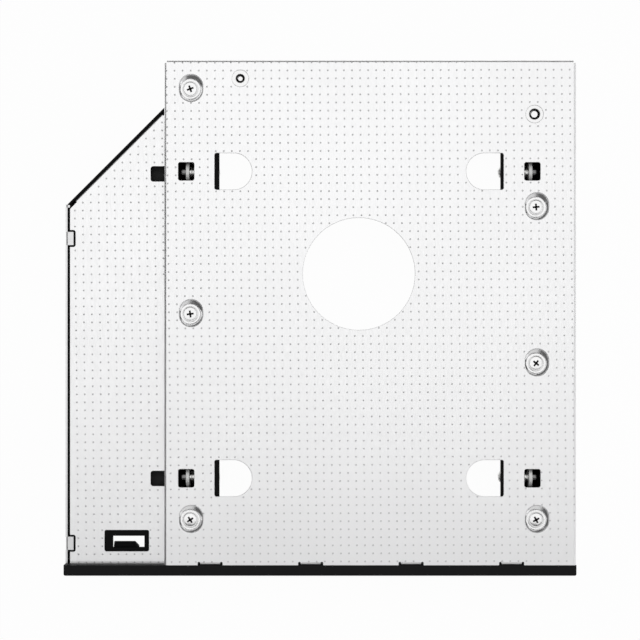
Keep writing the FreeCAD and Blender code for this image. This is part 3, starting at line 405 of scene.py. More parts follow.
# Near-black painted shade for the insides of the cross recesses and the stud bores.
RECESS_SHADE = Finish("painted_recess_shade", (0.03, 0.03, 0.03), 0.55, metallic=1.0, blotch=0.2, blotch_scale=900.0,
                      grain_scale=4000.0, grain_depth=3e-6)
WASHER_STEEL = Finish("washer_steel", (0.94, 0.94, 0.93), 0.5, metallic=0.3, blotch=0.08, blotch_scale=700.0,
                      grain_scale=5000.0, grain_depth=3e-6)
STUD_STEEL = Finish("stud_steel", (0.88, 0.88, 0.88), 0.3, metallic=1.0, blotch=0.05, blotch_scale=400.0,
                    grain_scale=6000.0, grain_depth=1.5e-6)
CLAMP_STEEL = Finish("clamp_steel", (0.92, 0.92, 0.91), 0.3, metallic=1.0, blotch=0.05, blotch_scale=400.0,
                     grain_scale=6000.0, grain_depth=1.5e-6)
# Dark steel for the clamp screws' heads: painted shade, so the heads look dim beside the bright washers.
SHADED_HEAD_STEEL = Finish("clamp_head_painted_shade", (0.2, 0.2, 0.2), 0.22, metallic=1.0, blotch=0.1, blotch_scale=500.0,
                    grain_scale=5000.0, grain_depth=2e-6)
BOARD_MASK = BoardFinish("board", (0.008, 0.06, 0.022), 0.35, grain_scale=1500.0)
CAPACITOR_BODY = Finish("capacitor", (0.21, 0.13, 0.07), 0.5, blotch=0.15, blotch_scale=900.0,
                        grain_scale=4000.0, grain_depth=3e-6)
CONNECTOR_PLASTIC = Finish("connector_housing", (0.016, 0.016, 0.017), 0.4, specular=0.4, blotch=0.12,
                           grain_scale=3000.0, grain_depth=4e-6)
CONTACT_GOLD = Finish("contact_metal", (0.83, 0.6, 0.24), 0.24, metallic=1.0, blotch=0.08, blotch_scale=900.0,
                      grain_scale=6000.0, grain_depth=1e-6)
SOLDER = Finish("solder", (0.72, 0.72, 0.7), 0.3, metallic=1.0, blotch=0.08, blotch_scale=1200.0,
                grain_scale=3000.0, grain_depth=3e-6)


def dress(node: str, finish: Finish) -> bpy.types.Object:
    """Gives a CAD node its material.

    Args:
        node: the node's name.
        finish: the finish.

    Returns:
        The node's object.
    """
    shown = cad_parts[node]
    material = finish.material()
    for holder in shown.material_slots:
        holder.material = material
    if not shown.material_slots:
        shown.data.materials.append(material)
    log.info("%s dressed in %s", node, finish.name)
    return shown


def place_piece(name: str, shape: bmesh.types.BMesh, body: str, finishes: Iterable[Finish],
                stands_for: Iterable[str] = (), sharp: float = 35.0) -> bpy.types.Object:
    """Turns a finished shape into a piece of the object.

    Args:
        name: the piece's name.
        shape: its bmesh in metres, which is freed.
        body: CAD body that it rides on.
        finishes: finishes in the order of the faces' material numbers.
        stands_for: CAD nodes that it replaces.
        sharp: angle in degrees from which an edge stays sharp.

    Returns:
        The new object.
    """
    mesh = bpy.data.meshes.new(name)
    shape.to_mesh(mesh)
    shape.free()
    mesh.shade_smooth()
    mesh.set_sharp_from_angle(angle=math.radians(sharp))
    for finish in finishes:
        mesh.materials.append(finish.material())
    piece = bpy.data.objects.new(name, mesh)
    bpy.context.scene.collection.objects.link(piece)
    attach(piece, body)
    if stands_for:
        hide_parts(*stands_for)
    log.info("%s has %d faces and rides on %s", name, len(mesh.polygons), body)
    return piece


def stand(shape: bmesh.types.BMesh, base: Vector, axis: Vector) -> bmesh.types.BMesh:
    """Moves a shape made upright at the origin to its own axis.

    Args:
        shape: the shape.
        base: start of the axis in metres.
        axis: unit vector along the axis.

    Returns:
        The same shape.
    """
    turn = UP.rotation_difference(axis).to_matrix().to_4x4()
    bmesh.ops.transform(shape, matrix=Matrix.Translation(base) @ turn, verts=shape.verts[:])
    return shape


def turned(profile: Iterable[tuple[float, float]], base: Vector, axis: Vector,
           segments: int = 40) -> bmesh.types.BMesh:
    """Turned shape, closed where its profile meets the axis.

    Args:
        profile: (radius, distance along the axis) points in millimetres.
        base: start of the axis in metres.
        axis: unit vector along the axis.
        segments: faces round the axis.

    Returns:
        A bmesh in metres.
    """
    shape = bmesh.new()
    points = [shape.verts.new((r * MM, 0.0, h * MM)) for r, h in profile]
    edges = [shape.edges.new(pair) for pair in zip(points, points[1:])]
    bmesh.ops.spin(shape, geom=points + edges, cent=(0, 0, 0), axis=(0, 0, 1), dvec=(0, 0, 0),
                   angle=math.tau, steps=segments, use_merge=True, use_duplicate=False)
    bmesh.ops.remove_doubles(shape, verts=shape.verts[:], dist=1e-6)
    bmesh.ops.recalc_face_normals(shape, faces=shape.faces[:])
    return stand(shape, base, axis)


def helix_rib(root: float, crest: float, pitch: float, length: float, base: Vector, axis: Vector,
              steps_per_turn: int = 20) -> bmesh.types.BMesh:
    """Thread ridge that winds round an axis.

    Args:
        root: radius in millimetres where the ridge starts, just inside the core.
        crest: outer radius in millimetres.
        pitch: advance of one turn in millimetres.
        length: length of the thread in millimetres.
        base: start of the axis in metres.
        axis: unit vector along the axis.
        steps_per_turn: stretches in one turn.

    Returns:
        A closed bmesh in metres.
    """
    shape = bmesh.new()
    # Each corner of the ridge is a radius and a share of the pitch.
    section = ((root, 0.0), (crest, 0.36), (crest, 0.52), (root, 0.88))
    points = [shape.verts.new((r * MM, 0.0, h * pitch * MM)) for r, h in section]
    edges = [shape.edges.new((points[i - 1], points[i])) for i in range(len(points))]
    steps = round((length / pitch - 1) * steps_per_turn)
    advance = pitch * MM / steps_per_turn
    bmesh.ops.spin(shape, geom=points + edges, cent=(0, 0, 0), axis=(0, 0, 1), dvec=(0, 0, advance),
                   angle=math.tau * steps / steps_per_turn, steps=steps, use_merge=False, use_duplicate=False)
    ends = [e for e in shape.edges if e.is_boundary]
    bmesh.ops.holes_fill(shape, edges=ends, sides=len(section))
    bmesh.ops.recalc_face_normals(shape, faces=shape.faces[:])
    return stand(shape, base, axis)


def added(target: bmesh.types.BMesh, extra: bmesh.types.BMesh,
          material: int | None = None) -> bmesh.types.BMesh:
    """Adds one shape to another.

    Args:
        target: shape that grows.
        extra: shape that is copied in and freed.
        material: material number for its faces, or None to keep theirs.

    Returns:
        The target.
    """
    if material is not None:
        for face in extra.faces:
            face.material_index = material
    mesh = bpy.data.meshes.new("part")
    extra.to_mesh(mesh)
    extra.free()
    target.from_mesh(mesh)
    bpy.data.meshes.remove(mesh)
    return target


def block(size: Vector, middle: Vector, rounding: float = 0.0, segments: int = 2) -> bmesh.types.BMesh:
    """Box with rounded edges.

    Args:
        size: its three sizes in metres.
        middle: its middle in metres.
        rounding: radius of the edges in metres.
        segments: faces across each rounded edge.

    Returns:
        A bmesh in metres.
    """
    shape = bmesh.new()
    bmesh.ops.create_cube(shape, size=1.0)
    bmesh.ops.scale(shape, vec=size, verts=shape.verts[:])
    if rounding > 0:
        bmesh.ops.bevel(shape, geom=shape.edges[:] + shape.verts[:], offset=rounding, offset_type="OFFSET",
                        affect="EDGES", segments=segments, profile=0.5, material=-1)
    bmesh.ops.translate(shape, vec=middle, verts=shape.verts[:])
    return shape


def carved(body: bmesh.types.BMesh, tools: Iterable[bmesh.types.BMesh]) -> bmesh.types.BMesh:
    """Takes closed shapes out of a closed body.

    Args:
        body: the body, which is freed.
        tools: the shapes to take out, which are freed.

    Returns:
        What is left.
    """
    held = []
    for shape in (body, *tools):
        mesh = bpy.data.meshes.new("carving")
        shape.to_mesh(mesh)
        shape.free()
        held.append(bpy.data.objects.new("carving", mesh))
        bpy.context.scene.collection.objects.link(held[-1])
    for tool in held[1:]:
        step = held[0].modifiers.new("carve", "BOOLEAN")
        step.operation = "DIFFERENCE"
        step.solver = "EXACT"
        step.object = tool
    bpy.context.view_layer.update()
    seen = held[0].evaluated_get(bpy.context.evaluated_depsgraph_get())
    result = bmesh.new()
    result.from_mesh(seen.data)
    for thing in held:
        mesh = thing.data
        bpy.data.objects.remove(thing)
        bpy.data.meshes.remove(mesh)
    return result


@dataclass(frozen=True)
class CrossRecess:
    """Cross recess of a screw head, in millimetres, with its tapers as shares."""

    depth: float
    span: float = 2.0
    width: float = 0.5
    reach: float = 1.05
    over: float = 0.3
    span_taper: float = 0.55
    width_taper: float = 0.7
    point_depth: float = 1.25
    point_foot: float = 0.3
    point_mouth: float = 0.95
    point_segments: int = 12

    def bar(self, x: float, y: float) -> bmesh.types.BMesh:
        """Tapered bar that cuts one pair of arms, upright with its mouth at the origin.

        Args:
            x: its size along X in millimetres.
            y: its size along Y in millimetres.

        Returns:
            A bmesh in metres.
        """
        shape = bmesh.new()
        bmesh.ops.create_cube(shape, size=1.0)
        bmesh.ops.scale(shape, vec=mm(x, y, self.depth + self.over), verts=shape.verts[:])
        low = [v for v in shape.verts if v.co.z < 0]
        tapers = (self.span_taper, self.width_taper) if x > y else (self.width_taper, self.span_taper)
        bmesh.ops.scale(shape, vec=(*tapers, 1.0), verts=low)
        bmesh.ops.translate(shape, vec=mm(0, 0, (self.over - self.depth) / 2), verts=shape.verts[:])
        return shape

    def point(self) -> bmesh.types.BMesh:
        """Cone that cuts the middle, upright with its mouth at the origin.

        Returns:
            A bmesh in metres.
        """
        shape = bmesh.new()
        deep = self.depth * self.point_depth
        bmesh.ops.create_cone(shape, cap_ends=True, cap_tris=False, segments=self.point_segments,
                              radius1=self.width * self.point_foot * MM,
                              radius2=self.width * self.point_mouth * MM, depth=(deep + self.over) * MM)
        bmesh.ops.translate(shape, vec=mm(0, 0, (self.over - deep) / 2), verts=shape.verts[:])
        return shape

    def cut(self, head: bmesh.types.BMesh, mouth: Vector, axis: Vector) -> bmesh.types.BMesh:
        """Takes the recess out of a screw and marks the faces inside it for the painted shade.

        Args:
            head: the screw's shape, which is freed.
            mouth: middle of the recess's mouth in metres.
            axis: unit vector out of the recess.

        Returns:
            The screw with its recess.
        """
        tools = [self.bar(self.span, self.width), self.bar(self.width, self.span), self.point()]
        screw = carved(head, [stand(tool, mouth, axis) for tool in tools])
        for face in screw.faces:
            offset = face.calc_center_median() - mouth
            down = -offset.dot(axis)
            aside = (offset + axis * down).length
            # The faces inside the recess get the painted shade.
            if aside < self.reach * MM and 0.02 * MM < down < self.depth * 1.3 * MM:
                face.material_index = RECESS_FACES
        return screw


@dataclass(frozen=True)
class DimpleField:
    """Regular field of dimples on one flat part of the sheet, in millimetres."""

    level: float
    through: tuple[float, float]
    columns: tuple[int, int]
    rows: tuple[int, int]
    column_step: tuple[float, float] = (2.012, 0.005)
    row_step: tuple[float, float] = (0.021, -2.009)

    def first(self) -> Vector:
        """Place of the field's first dimple.

        Returns:
            Its middle in millimetres.
        """
        x = self.through[0] + self.columns[0] * self.column_step[0] + self.rows[0] * self.row_step[0]
        y = self.through[1] + self.columns[0] * self.column_step[1] + self.rows[0] * self.row_step[1]
        return Vector((x, y, self.level))

    def centre_of(self, point: Vector) -> Vector:
        """Middle of the dimple that a point belongs to.

        Args:
            point: a vertex of the field in metres.

        Returns:
            The dimple's middle in metres.
        """
        start = self.first() * MM
        across, down = Vector(self.column_step) * MM, Vector(self.row_step) * MM
        offset = (point - start).xy
        area = across.x * down.y - across.y * down.x
        i = round((offset.x * down.y - offset.y * down.x) / area)
        j = round((across.x * offset.y - across.y * offset.x) / area)
        return start + Vector((*(across * i + down * j), 0.0))


@dataclass
class DimpledSheet:
    """The folded sheet, its side cover and the raised dimples on both flat parts, with painted shade on the
    dimples.
    """

    radius: float = 0.27
    height: float = 0.075
    shoulder_height: float = 0.62
    shoulder_radius: float = 0.6
    sides: int = 8
    sink: float = 0.02
    clear: float = 0.3
    probes: int = 8
    probe_level: float = 30.0
    roll_off: float = 0.07
    edge_roll_off: float = 0.21
    panel: DimpleField = DimpleField(12.7, (-17.35, -16.6), (-11, 41), (-41, 24))
    wing: DimpleField = DimpleField(9.5, (-49.2, -7.1), (-8, 6), (-38, 30))

    def dimple(self, level: float, at: Vector) -> bmesh.types.BMesh:
        """One low round bump with a closed underside.

        Args:
            level: height of the sheet's face in millimetres.
            at: its middle in millimetres.

        Returns:
            A bmesh in metres.
        """
        bump = bmesh.new()
        lower = self.height * self.shoulder_height + self.sink
        bmesh.ops.create_cone(bump, cap_ends=True, cap_tris=False, segments=self.sides,
                              radius1=self.radius * MM, radius2=self.radius * self.shoulder_radius * MM,
                              depth=lower * MM)
        top = [f for f in bump.faces if f.normal.z > 0.9]
        bmesh.ops.poke(bump, faces=top, offset=self.height * (1 - self.shoulder_height) * MM)
        bmesh.ops.translate(bump, vec=mm(at.x, at.y, level - self.sink + lower / 2), verts=bump.verts[:])
        return bump

    def field_shape(self, lattice: DimpleField, sheet: BVHTree) -> bmesh.types.BMesh:
        """All dimples of one field that lie on flat sheet.

        Args:
            lattice: the field.
            sheet: search tree of the sheet's own mesh.

        Returns:
            A bmesh in metres.
        """
        shape = self.dimple(lattice.level, lattice.first())
        for step, (low, high) in ((lattice.column_step, lattice.columns), (lattice.row_step, lattice.rows)):
            everything = shape.verts[:] + shape.edges[:] + shape.faces[:]
            bmesh.ops.spin(shape, geom=everything, cent=(0, 0, 0), axis=(0, 0, 1), dvec=mm(*step, 0.0),
                           angle=0.0, steps=high - low, use_merge=False, use_duplicate=True)
        kept: dict[tuple[int, int], bool] = {}
        stray = []
        for vertex in shape.verts:
            middle = lattice.centre_of(vertex.co)
            key = (round(middle.x / MM * 100), round(middle.y / MM * 100))
            if key not in kept:
                kept[key] = self.holds(middle, lattice.level, sheet)
            if kept[key]:
                vertex.co.z -= self.fall(vertex.co, lattice.level, sheet)
            else:
                stray.append(vertex)
        bmesh.ops.delete(shape, geom=stray, context="VERTS")
        return shape

    def fall(self, point: Vector, level: float, sheet: BVHTree) -> float:
        """How far the sheet lies below its flat face at a point, as at the start of a bend.

        Args:
            point: the point in metres.
            level: height of the sheet's face in millimetres.
            sheet: search tree of the sheet's own mesh.

        Returns:
            The fall in metres, infinite where there is no sheet.
        """
        hit = sheet.ray_cast(Vector((point.x, point.y, self.probe_level * MM)), -UP)[0]
        return math.inf if hit is None else level * MM - hit.z

    def holds(self, middle: Vector, level: float, sheet: BVHTree) -> bool:
        """Whether the sheet round a dimple is whole, uncovered and no lower than where a bend starts.

        Args:
            middle: the dimple's middle in metres.
            level: height of the sheet's face in millimetres.
            sheet: search tree of the sheet's own mesh.

        Returns:
            True where the dimple is kept.
        """
        turns = [i * math.tau / self.probes for i in range(self.probes)]
        edge = [middle + Vector((math.cos(a), math.sin(a), 0.0)) * self.clear * MM for a in turns]
        falls = [self.fall(point, level, sheet) for point in edge]
        centre = self.fall(middle, level, sheet)
        uncovered = min(falls + [centre]) > -self.sink * MM
        return uncovered and max(falls) <= self.edge_roll_off * MM and centre <= self.roll_off * MM

    def build(self) -> None:
        """Dresses the sheets and adds the dimples."""
        plate = dress("base_plate", SHEET)
        dress("side_cover", COVER)
        corners = [v.co for v in plate.data.vertices]
        sheet = BVHTree.FromPolygons(corners, [tuple(p.vertices) for p in plate.data.polygons])
        for name, lattice in (("panel_dimples", self.panel), ("wing_dimples", self.wing)):
            shape = self.field_shape(lattice, sheet)
            place_piece(name, shape, CADDY, [DIMPLE_SHADE], sharp=60.0)


@dataclass
class ScrewDishes:
    """Sloping walls of the pressed dishes round the panel screws, in millimetres."""

    places: tuple[tuple[float, float], ...]
    shift: float = 0.2
    width: float = 5.8
    length: float = 6.65
    rim_level: float = 12.3
    foot: float = 2.53
    foot_level: float = 11.87
    underside: float = 11.81
    segments: int = 64

    def ring(self, shape: bmesh.types.BMesh, x: float, y: float, radius: float, stretch: float,
             level: float) -> list[bmesh.types.BMEdge]:
        """Closed loop of edges round a point: a circle, pulled apart along Y.

        Args:
            shape: the bmesh that it is added to.
            x: its middle across the caddy.
            y: its middle along the caddy.
            radius: radius of its ends.
            stretch: length of its straight sides.
            level: its height.

        Returns:
            The loop's edges.
        """
        made = bmesh.ops.create_circle(shape, cap_ends=False, segments=self.segments, radius=radius * MM)
        for vertex in made["verts"]:
            vertex.co.y += math.copysign(stretch / 2 * MM, vertex.co.y)
        bmesh.ops.translate(shape, vec=mm(x, y, level), verts=made["verts"])
        return list({edge for vertex in made["verts"] for edge in vertex.link_edges})

    def dish(self, x: float, y: float) -> bmesh.types.BMesh:
        """Wall of one dish, closed below.

        Args:
            x: the screw's axis across the caddy.
            y: the screw's axis along the caddy.

        Returns:
            A bmesh in metres.
        """
        shape = bmesh.new()
        half, stretch = self.width / 2, self.length - self.width
        middle = (x + self.shift, y + self.shift)
        rim = self.ring(shape, *middle, half, stretch, self.rim_level)
        foot = self.ring(shape, x, y, self.foot, 0.0, self.foot_level)
        under_foot = self.ring(shape, x, y, self.foot, 0.0, self.underside)
        under_rim = self.ring(shape, *middle, half, stretch, self.underside)
        for first, second in ((rim, foot), (foot, under_foot), (under_foot, under_rim), (under_rim, rim)):
            bmesh.ops.bridge_loops(shape, edges=first + second)
        bmesh.ops.recalc_face_normals(shape, faces=shape.faces[:])
        return shape

    def build(self) -> None:
        """Adds the six dish walls as one piece."""
        shape = bmesh.new()
        for x, y in self.places:
            added(shape, self.dish(x, y))
        place_piece("screw_dishes", shape, CADDY, [DISH])


@dataclass
class PanelScrews:
    """Six washer-head screws in the panel's dishes, in millimetres."""

    places: tuple[tuple[float, float], ...] = (
        (-32.4, 57.2), (-32.4, 1.0), (-32.4, -50.4), (53.95, 27.7), (53.95, -11.3), (53.95, -50.4))
    seat: float = 11.8
    height: float = 0.8
    flange: float = 2.5
    boss: float = 1.75
    shank: float = 1.1
    shank_length: float = 5.0
    pitch: float = 0.5
    thread_length: float = 4.2
    recess: CrossRecess = CrossRecess(0.75)
    turns: tuple[float, ...] = (20.0, 8.0, 33.0, 5.0, 52.0, 28.0)

    def screw(self, x: float, y: float, turn: float) -> bmesh.types.BMesh:
        """One screw.

        Args:
            x: its axis across the caddy.
            y: its axis along the caddy.
            turn: angle of its cross in degrees.

        Returns:
            A bmesh in metres.
        """
        profile = [
            (0.0, -self.shank_length), (self.shank - 0.3, -self.shank_length), (self.shank - 0.12, -4.6),
            (self.shank - 0.12, 0.0), (self.flange - 0.08, 0.0), (self.flange, 0.06), (self.flange, 0.24),
            (self.flange - 0.1, 0.34), (self.boss + 0.3, 0.34), (self.boss + 0.14, 0.2),
            (self.boss + 0.02, 0.36), (self.boss - 0.08, 0.62), (self.boss - 0.2, 0.75),
            (self.boss - 0.42, 0.79), (0.0, self.height),
        ]
        body = turned(profile, mm(x, y, self.seat), UP)
        head = self.recess.cut(body, mm(x, y, self.seat + self.height), UP)
        spin = Matrix.Rotation(math.radians(turn), 4, "Z")
        middle = mm(x, y, 0.0)
        bmesh.ops.transform(head, matrix=Matrix.Translation(middle) @ spin @ Matrix.Translation(-middle),
                            verts=head.verts[:])
        tip = mm(x, y, self.seat - self.shank_length + 0.3)
        return added(head, helix_rib(self.shank - 0.2, self.shank, self.pitch, self.thread_length, tip, UP))

    def build(self) -> None:
        """Adds the six screws as one piece."""
        shape = bmesh.new()
        for (x, y), turn in zip(self.places, self.turns):
            added(shape, self.screw(x, y, turn))
        place_piece("panel_screws", shape, CADDY, [SCREW_STEEL, RECESS_SHADE], ["base_screws"])


@dataclass
class ClampScrews:
    """Captive screws and washers that clamp the drive, in millimetres."""

    rows: dict[str, float] = field(default_factory=lambda: {"rear": 36.6, "front": -40.0})
    sides: dict[str, tuple[float, float]] = field(
        default_factory=lambda: {"left": (-33.15, 1.0), "right": (52.75, -1.0)})
    level: float = 9.0
    washer: float = 0.85
    washer_radius: float = 2.7
    bore: float = 1.3
    head: float = 1.45
    head_radius: float = 1.6
    neck: float = 1.25
    thread: float = 1.5
    pitch: float = 0.5
    reach: float = 7.95
    slack: float = 0.01
    recess: CrossRecess = CrossRecess(0.8)

    def screw(self, x: float, y: float, inward: float) -> bmesh.types.BMesh:
        """One clamp screw.

        Args:
            x: middle of its washer.
            y: its axis along the caddy.
            inward: 1 or -1, the way to the drive along X.

        Returns:
            A bmesh in metres.
        """
        axis = Vector((inward, 0.0, 0.0))
        base = mm(x, y, self.level)
        back = -self.washer / 2 - self.head
        front = -self.washer / 2 - self.slack
        core, head = self.thread - 0.25, self.head_radius
        profile = [
            (0.0, back), (head - 0.35, back), (head - 0.1, back + 0.1), (head, back + 0.35),
            (head, front - 0.08), (head - 0.08, front), (self.neck, front),
            (self.neck, self.washer / 2 + 0.1), (core, self.washer / 2 + 0.2),
            (core, self.reach - 0.3), (core - 0.3, self.reach), (0.0, self.reach),
        ]
        body = self.recess.cut(turned(profile, base, axis), base + axis * back * MM, -axis)
        # The head's faces, outside the recess, get the painted shade.
        for face in body.faces:
            along = (face.calc_center_median() - base).dot(axis)
            if along < front * MM + 1e-6 and face.material_index != RECESS_FACES:
                face.material_index = HEAD_FACES
        start = self.washer / 2 + 0.15
        length = self.reach - start - 0.1
        return added(body, helix_rib(core - 0.05, self.thread, self.pitch, length,
                                     base + axis * start * MM, axis))

    def washer_shape(self, x: float, y: float) -> bmesh.types.BMesh:
        """One washer with rounded edges.

        Args:
            x: its middle.
            y: its axis along the caddy.

        Returns:
            A bmesh in metres.
        """
        a, r, b, e = self.washer / 2, self.washer_radius, self.bore, 0.1
        profile = [(b, -a + e), (b + e, -a), (r - e, -a), (r - e * 0.3, -a + e * 0.3), (r, -a + e),
                   (r, a - e), (r - e * 0.3, a - e * 0.3), (r - e, a), (b + e, a), (b, a - e), (b, -a + e)]
        return turned(profile, mm(x, y, self.level), Vector((1.0, 0.0, 0.0)))

    def build(self) -> None:
        """Adds the four screws and four washers."""
        for end, y in self.rows.items():
            for side, (x, inward) in self.sides.items():
                tag = f"{end}_{side}"
                place_piece(f"turned_screw_{tag}", self.screw(x, y, inward), f"clamp_screw_{tag}",
                            [CLAMP_STEEL, RECESS_SHADE, SHADED_HEAD_STEEL], [f"clamp_screw_{tag}"])
                place_piece(f"turned_washer_{tag}", self.washer_shape(x, y), f"clamp_washer_{tag}",
                            [WASHER_STEEL], [f"clamp_washer_{tag}"])


@dataclass
class BoardFixings:
    """Standoffs clinched into the panel and the screws that hold the board to them, in millimetres.

    Each of the studs is its axis across and along the caddy, its collar's radius and its bore's.
    """

    studs: tuple[tuple[float, float, float, float], ...] = (
        (-19.9, 59.8, 2.1, 1.05), (53.55, 50.9, 2.2, 1.3))
    body_radius: float = 2.9
    low: float = 9.0
    under_panel: float = 12.2
    top: float = 12.65
    board_low: float = 8.0
    head: float = 2.2
    screw_top: float = 12.1
    pitch: float = 0.4
    recess: CrossRecess = CrossRecess(0.5)

    def stud(self, x: float, y: float, collar: float, bore: float) -> bmesh.types.BMesh:
        """One standoff with a countersunk mouth.

        Args:
            x: its axis across the caddy.
            y: its axis along the caddy.
            collar: radius of its collar in the panel.
            bore: radius of its bore.

        Returns:
            A bmesh in metres.
        """
        r, z = self.body_radius, self.low
        profile = [(bore + 0.15, z), (r - 0.15, z), (r, z + 0.15), (r, self.under_panel - 0.01),
                   (collar, self.under_panel - 0.01), (collar, self.top - 0.05), (collar - 0.06, self.top),
                   (bore + 0.12, self.top), (bore, self.top - 0.15), (bore, z + 0.15), (bore + 0.15, z)]
        shape = turned(profile, mm(x, y, 0.0), UP)
        # The bore's faces get the same painted shade as the recesses.
        for face in shape.faces:
            if (face.calc_center_median() - mm(x, y, 0.0)).xy.length < (bore + 0.02) * MM:
                face.material_index = RECESS_FACES
        return shape

    def screw(self, x: float, y: float, bore: float) -> bmesh.types.BMesh:
        """One board screw, entered from the open side.

        Args:
            x: its axis across the caddy.
            y: its axis along the caddy.
            bore: radius of its standoff's bore.

        Returns:
            A bmesh in metres.
        """
        z, head = self.board_low, self.head
        core, end = bore - 0.2, self.screw_top
        profile = [(0.0, end), (core - 0.3, end), (core, end - 0.35), (core, z), (head - 0.1, z),
                   (head, z - 0.1), (head, z - 0.4), (head - 0.25, z - 0.62), (head - 0.7, z - 0.7),
                   (0.0, z - 0.7)]
        body = self.recess.cut(turned(profile, mm(x, y, 0.0), UP), mm(x, y, z - 0.7), -UP)
        return added(body, helix_rib(core - 0.05, bore - 0.05, self.pitch, end - z - 0.3,
                                     mm(x, y, z + 0.2), UP))

    def build(self) -> None:
        """Adds both standoffs and both screws."""
        studs, screws = bmesh.new(), bmesh.new()
        for x, y, collar, bore in self.studs:
            added(studs, self.stud(x, y, collar, bore))
            added(screws, self.screw(x, y, bore))
        place_piece("turned_studs", studs, CADDY, [STUD_STEEL, RECESS_SHADE], ["board_studs"])
        place_piece("turned_board_screws", screws, CADDY, [SCREW_STEEL, RECESS_SHADE],
                    ["board_screws"])


@dataclass
class Board:
    """Circuit board with its two connectors, pads and chip capacitors, in millimetres."""

    low: float = 8.0
    capacitors: int = 6
    pitch: float = 3.2
    row_middle: tuple[float, float] = (38.0, 57.0)
    chip: Triple = (1.25, 2.0, 0.9)
    cap: float = 0.42
    cap_round: float = 0.08
    inset: float = 0.06
    pad_margin: float = 0.25
    pad_length: float = 0.5
    pad_height: float = 0.2
    pad_round: float = 0.09

    def chips(self) -> bmesh.types.BMesh:
        """Chip capacitors with tinned ends on solder pads.

        Returns:
            A bmesh in metres.
        """
        shape = bmesh.new()
        width, length, height = self.chip
        for i in range(self.capacitors):
            x = self.row_middle[0] + (i - (self.capacitors - 1) / 2) * self.pitch
            y = self.row_middle[1]
            middle = mm(x, y, self.low - height / 2)
            body = mm(width - self.inset, length - 0.2, height - self.inset)
            added(shape, block(body, middle, self.inset * MM))
            for way in (-1, 1):
                end = mm(x, y + way * (length - self.cap) / 2, self.low - height / 2)
                added(shape, block(mm(width, self.cap, height), end, self.cap_round * MM), SOLDER_FACES)
                pad = mm(x, y + way * (length / 2 + 0.02), self.low - self.pad_height / 2)
                size = mm(width + self.pad_margin, self.pad_length, self.pad_height)
                added(shape, block(size, pad, self.pad_round * MM), SOLDER_FACES)
        return shape

    def build(self) -> None:
        """Dresses the board and its connectors, and adds the capacitors."""
        dress("circuit_board", BOARD_MASK)
        for node in ("drive_receptacle", "rear_plug"):
            dress(node, CONNECTOR_PLASTIC)
        for node in ("receptacle_contacts", "rear_plug_contacts"):
            dress(node, CONTACT_GOLD)
        place_piece("chip_capacitors", self.chips(), CADDY, [CAPACITOR_BODY, SOLDER],
                    ["board_capacitors"])


@dataclass
class Mouldings:
    """Black plastic frame, rail and bezel."""

    finishes: dict[str, Finish] = field(default_factory=lambda: {
        "left_frame": FRAME_PLASTIC, "right_rail": FRAME_PLASTIC, "bezel": BEZEL_PLASTIC})

    def build(self) -> None:
        """Dresses the three mouldings."""
        for node, finish in self.finishes.items():
            dress(node, finish)


@dataclass(frozen=True)
class Lamp:
    """Soft rectangular lamp, in metres, with the brightness of its face, where 1 is white."""

    name: str
    place: Triple
    aim: Triple
    size: tuple[float, float]
    radiance: float

    def build(self) -> None:
        """Adds the lamp, hidden from the camera itself."""
        light = bpy.data.lights.new(self.name, "AREA")
        light.shape = "RECTANGLE"
        light.size, light.size_y = self.size
        light.energy = self.radiance * math.pi * self.size[0] * self.size[1]
        holder = bpy.data.objects.new(self.name, light)
        holder.location = self.place
        holder.rotation_euler = (Vector(self.aim) - Vector(self.place)).to_track_quat("-Z", "Y").to_euler()
        holder.visible_camera = False
        bpy.context.scene.collection.objects.link(holder)


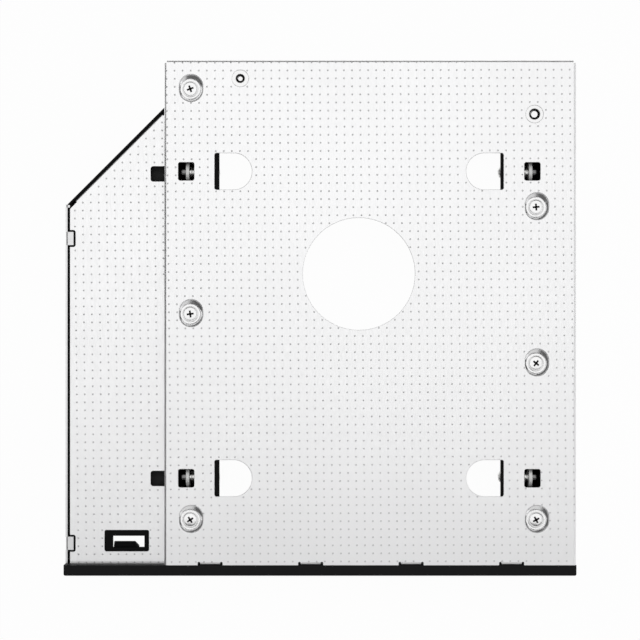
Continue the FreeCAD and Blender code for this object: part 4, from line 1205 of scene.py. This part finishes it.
@dataclass
class Studio:
    """Floor, lamps, world and camera, in metres."""

    floor_size: float = 8.0
    floor_level: float = -0.00003
    world: float = 0.1
    lamps: tuple[Lamp, ...] = (
        Lamp("overhead", (-0.135, 0.3, 1.0), (-0.135, 0.3, 0.0), (1.43, 1.2), 1.045),
        Lamp("low_front", (0.45, -0.85, 0.62), (0.0, 0.0, 0.0), (2.1, 0.64), 0.6),
        Lamp("right_side", (1.42, 0.1, 0.8), (0.0, 0.0, 0.0), (1.6, 1.2), 0.8))
    camera_height: float = 0.405
    camera_place: tuple[float, float] = (0.0, -0.0005)
    field_width: float = 0.1597
    panel_level: float = 0.0127
    sensor: float = 36.0

    def lay_floor(self) -> None:
        """Adds the floor just under the object."""
        ground = bmesh.new()
        bmesh.ops.create_grid(ground, x_segments=1, y_segments=1, size=self.floor_size / 2)
        bmesh.ops.translate(ground, vec=(0, 0, self.floor_level), verts=ground.verts[:])
        mesh = bpy.data.meshes.new("floor")
        ground.to_mesh(mesh)
        ground.free()
        mesh.materials.append(FloorFinish().material())
        floor = bpy.data.objects.new("floor", mesh)
        bpy.context.scene.collection.objects.link(floor)

    def light_world(self) -> None:
        """Sets the dim light from all around."""
        world = bpy.data.worlds.new("studio")
        world.use_nodes = True
        backdrop = world.node_tree.nodes["Background"]
        backdrop.inputs["Color"].default_value = (self.world, self.world, self.world, 1.0)
        bpy.context.scene.world = world

    def set_camera(self) -> None:
        """Adds the camera, straight above the panel."""
        data = bpy.data.cameras.new("camera")
        data.sensor_width = self.sensor
        data.lens = self.sensor * self.camera_height / self.field_width
        camera = bpy.data.objects.new("camera", data)
        camera.location = (*self.camera_place, self.panel_level + self.camera_height)
        scene = bpy.context.scene
        scene.collection.objects.link(camera)
        scene.camera = camera
        scene.view_settings.view_transform = "Standard"

    def build(self) -> None:
        """Sets up the floor, the world, the lamps and the camera."""
        self.lay_floor()
        self.light_world()
        for lamp in self.lamps:
            lamp.build()
        self.set_camera()


def main() -> None:
    """Builds every sub-assembly and the studio."""
    logging.basicConfig(level=logging.INFO, format="%(message)s")
    screws = PanelScrews()
    parts = (DimpledSheet(), Mouldings(), screws, ScrewDishes(screws.places), ClampScrews(), BoardFixings(),
             Board(), Studio())
    for part in parts:
        log.info("building %s", type(part).__name__)
        part.build()


if __name__ == "__main__":
    main()
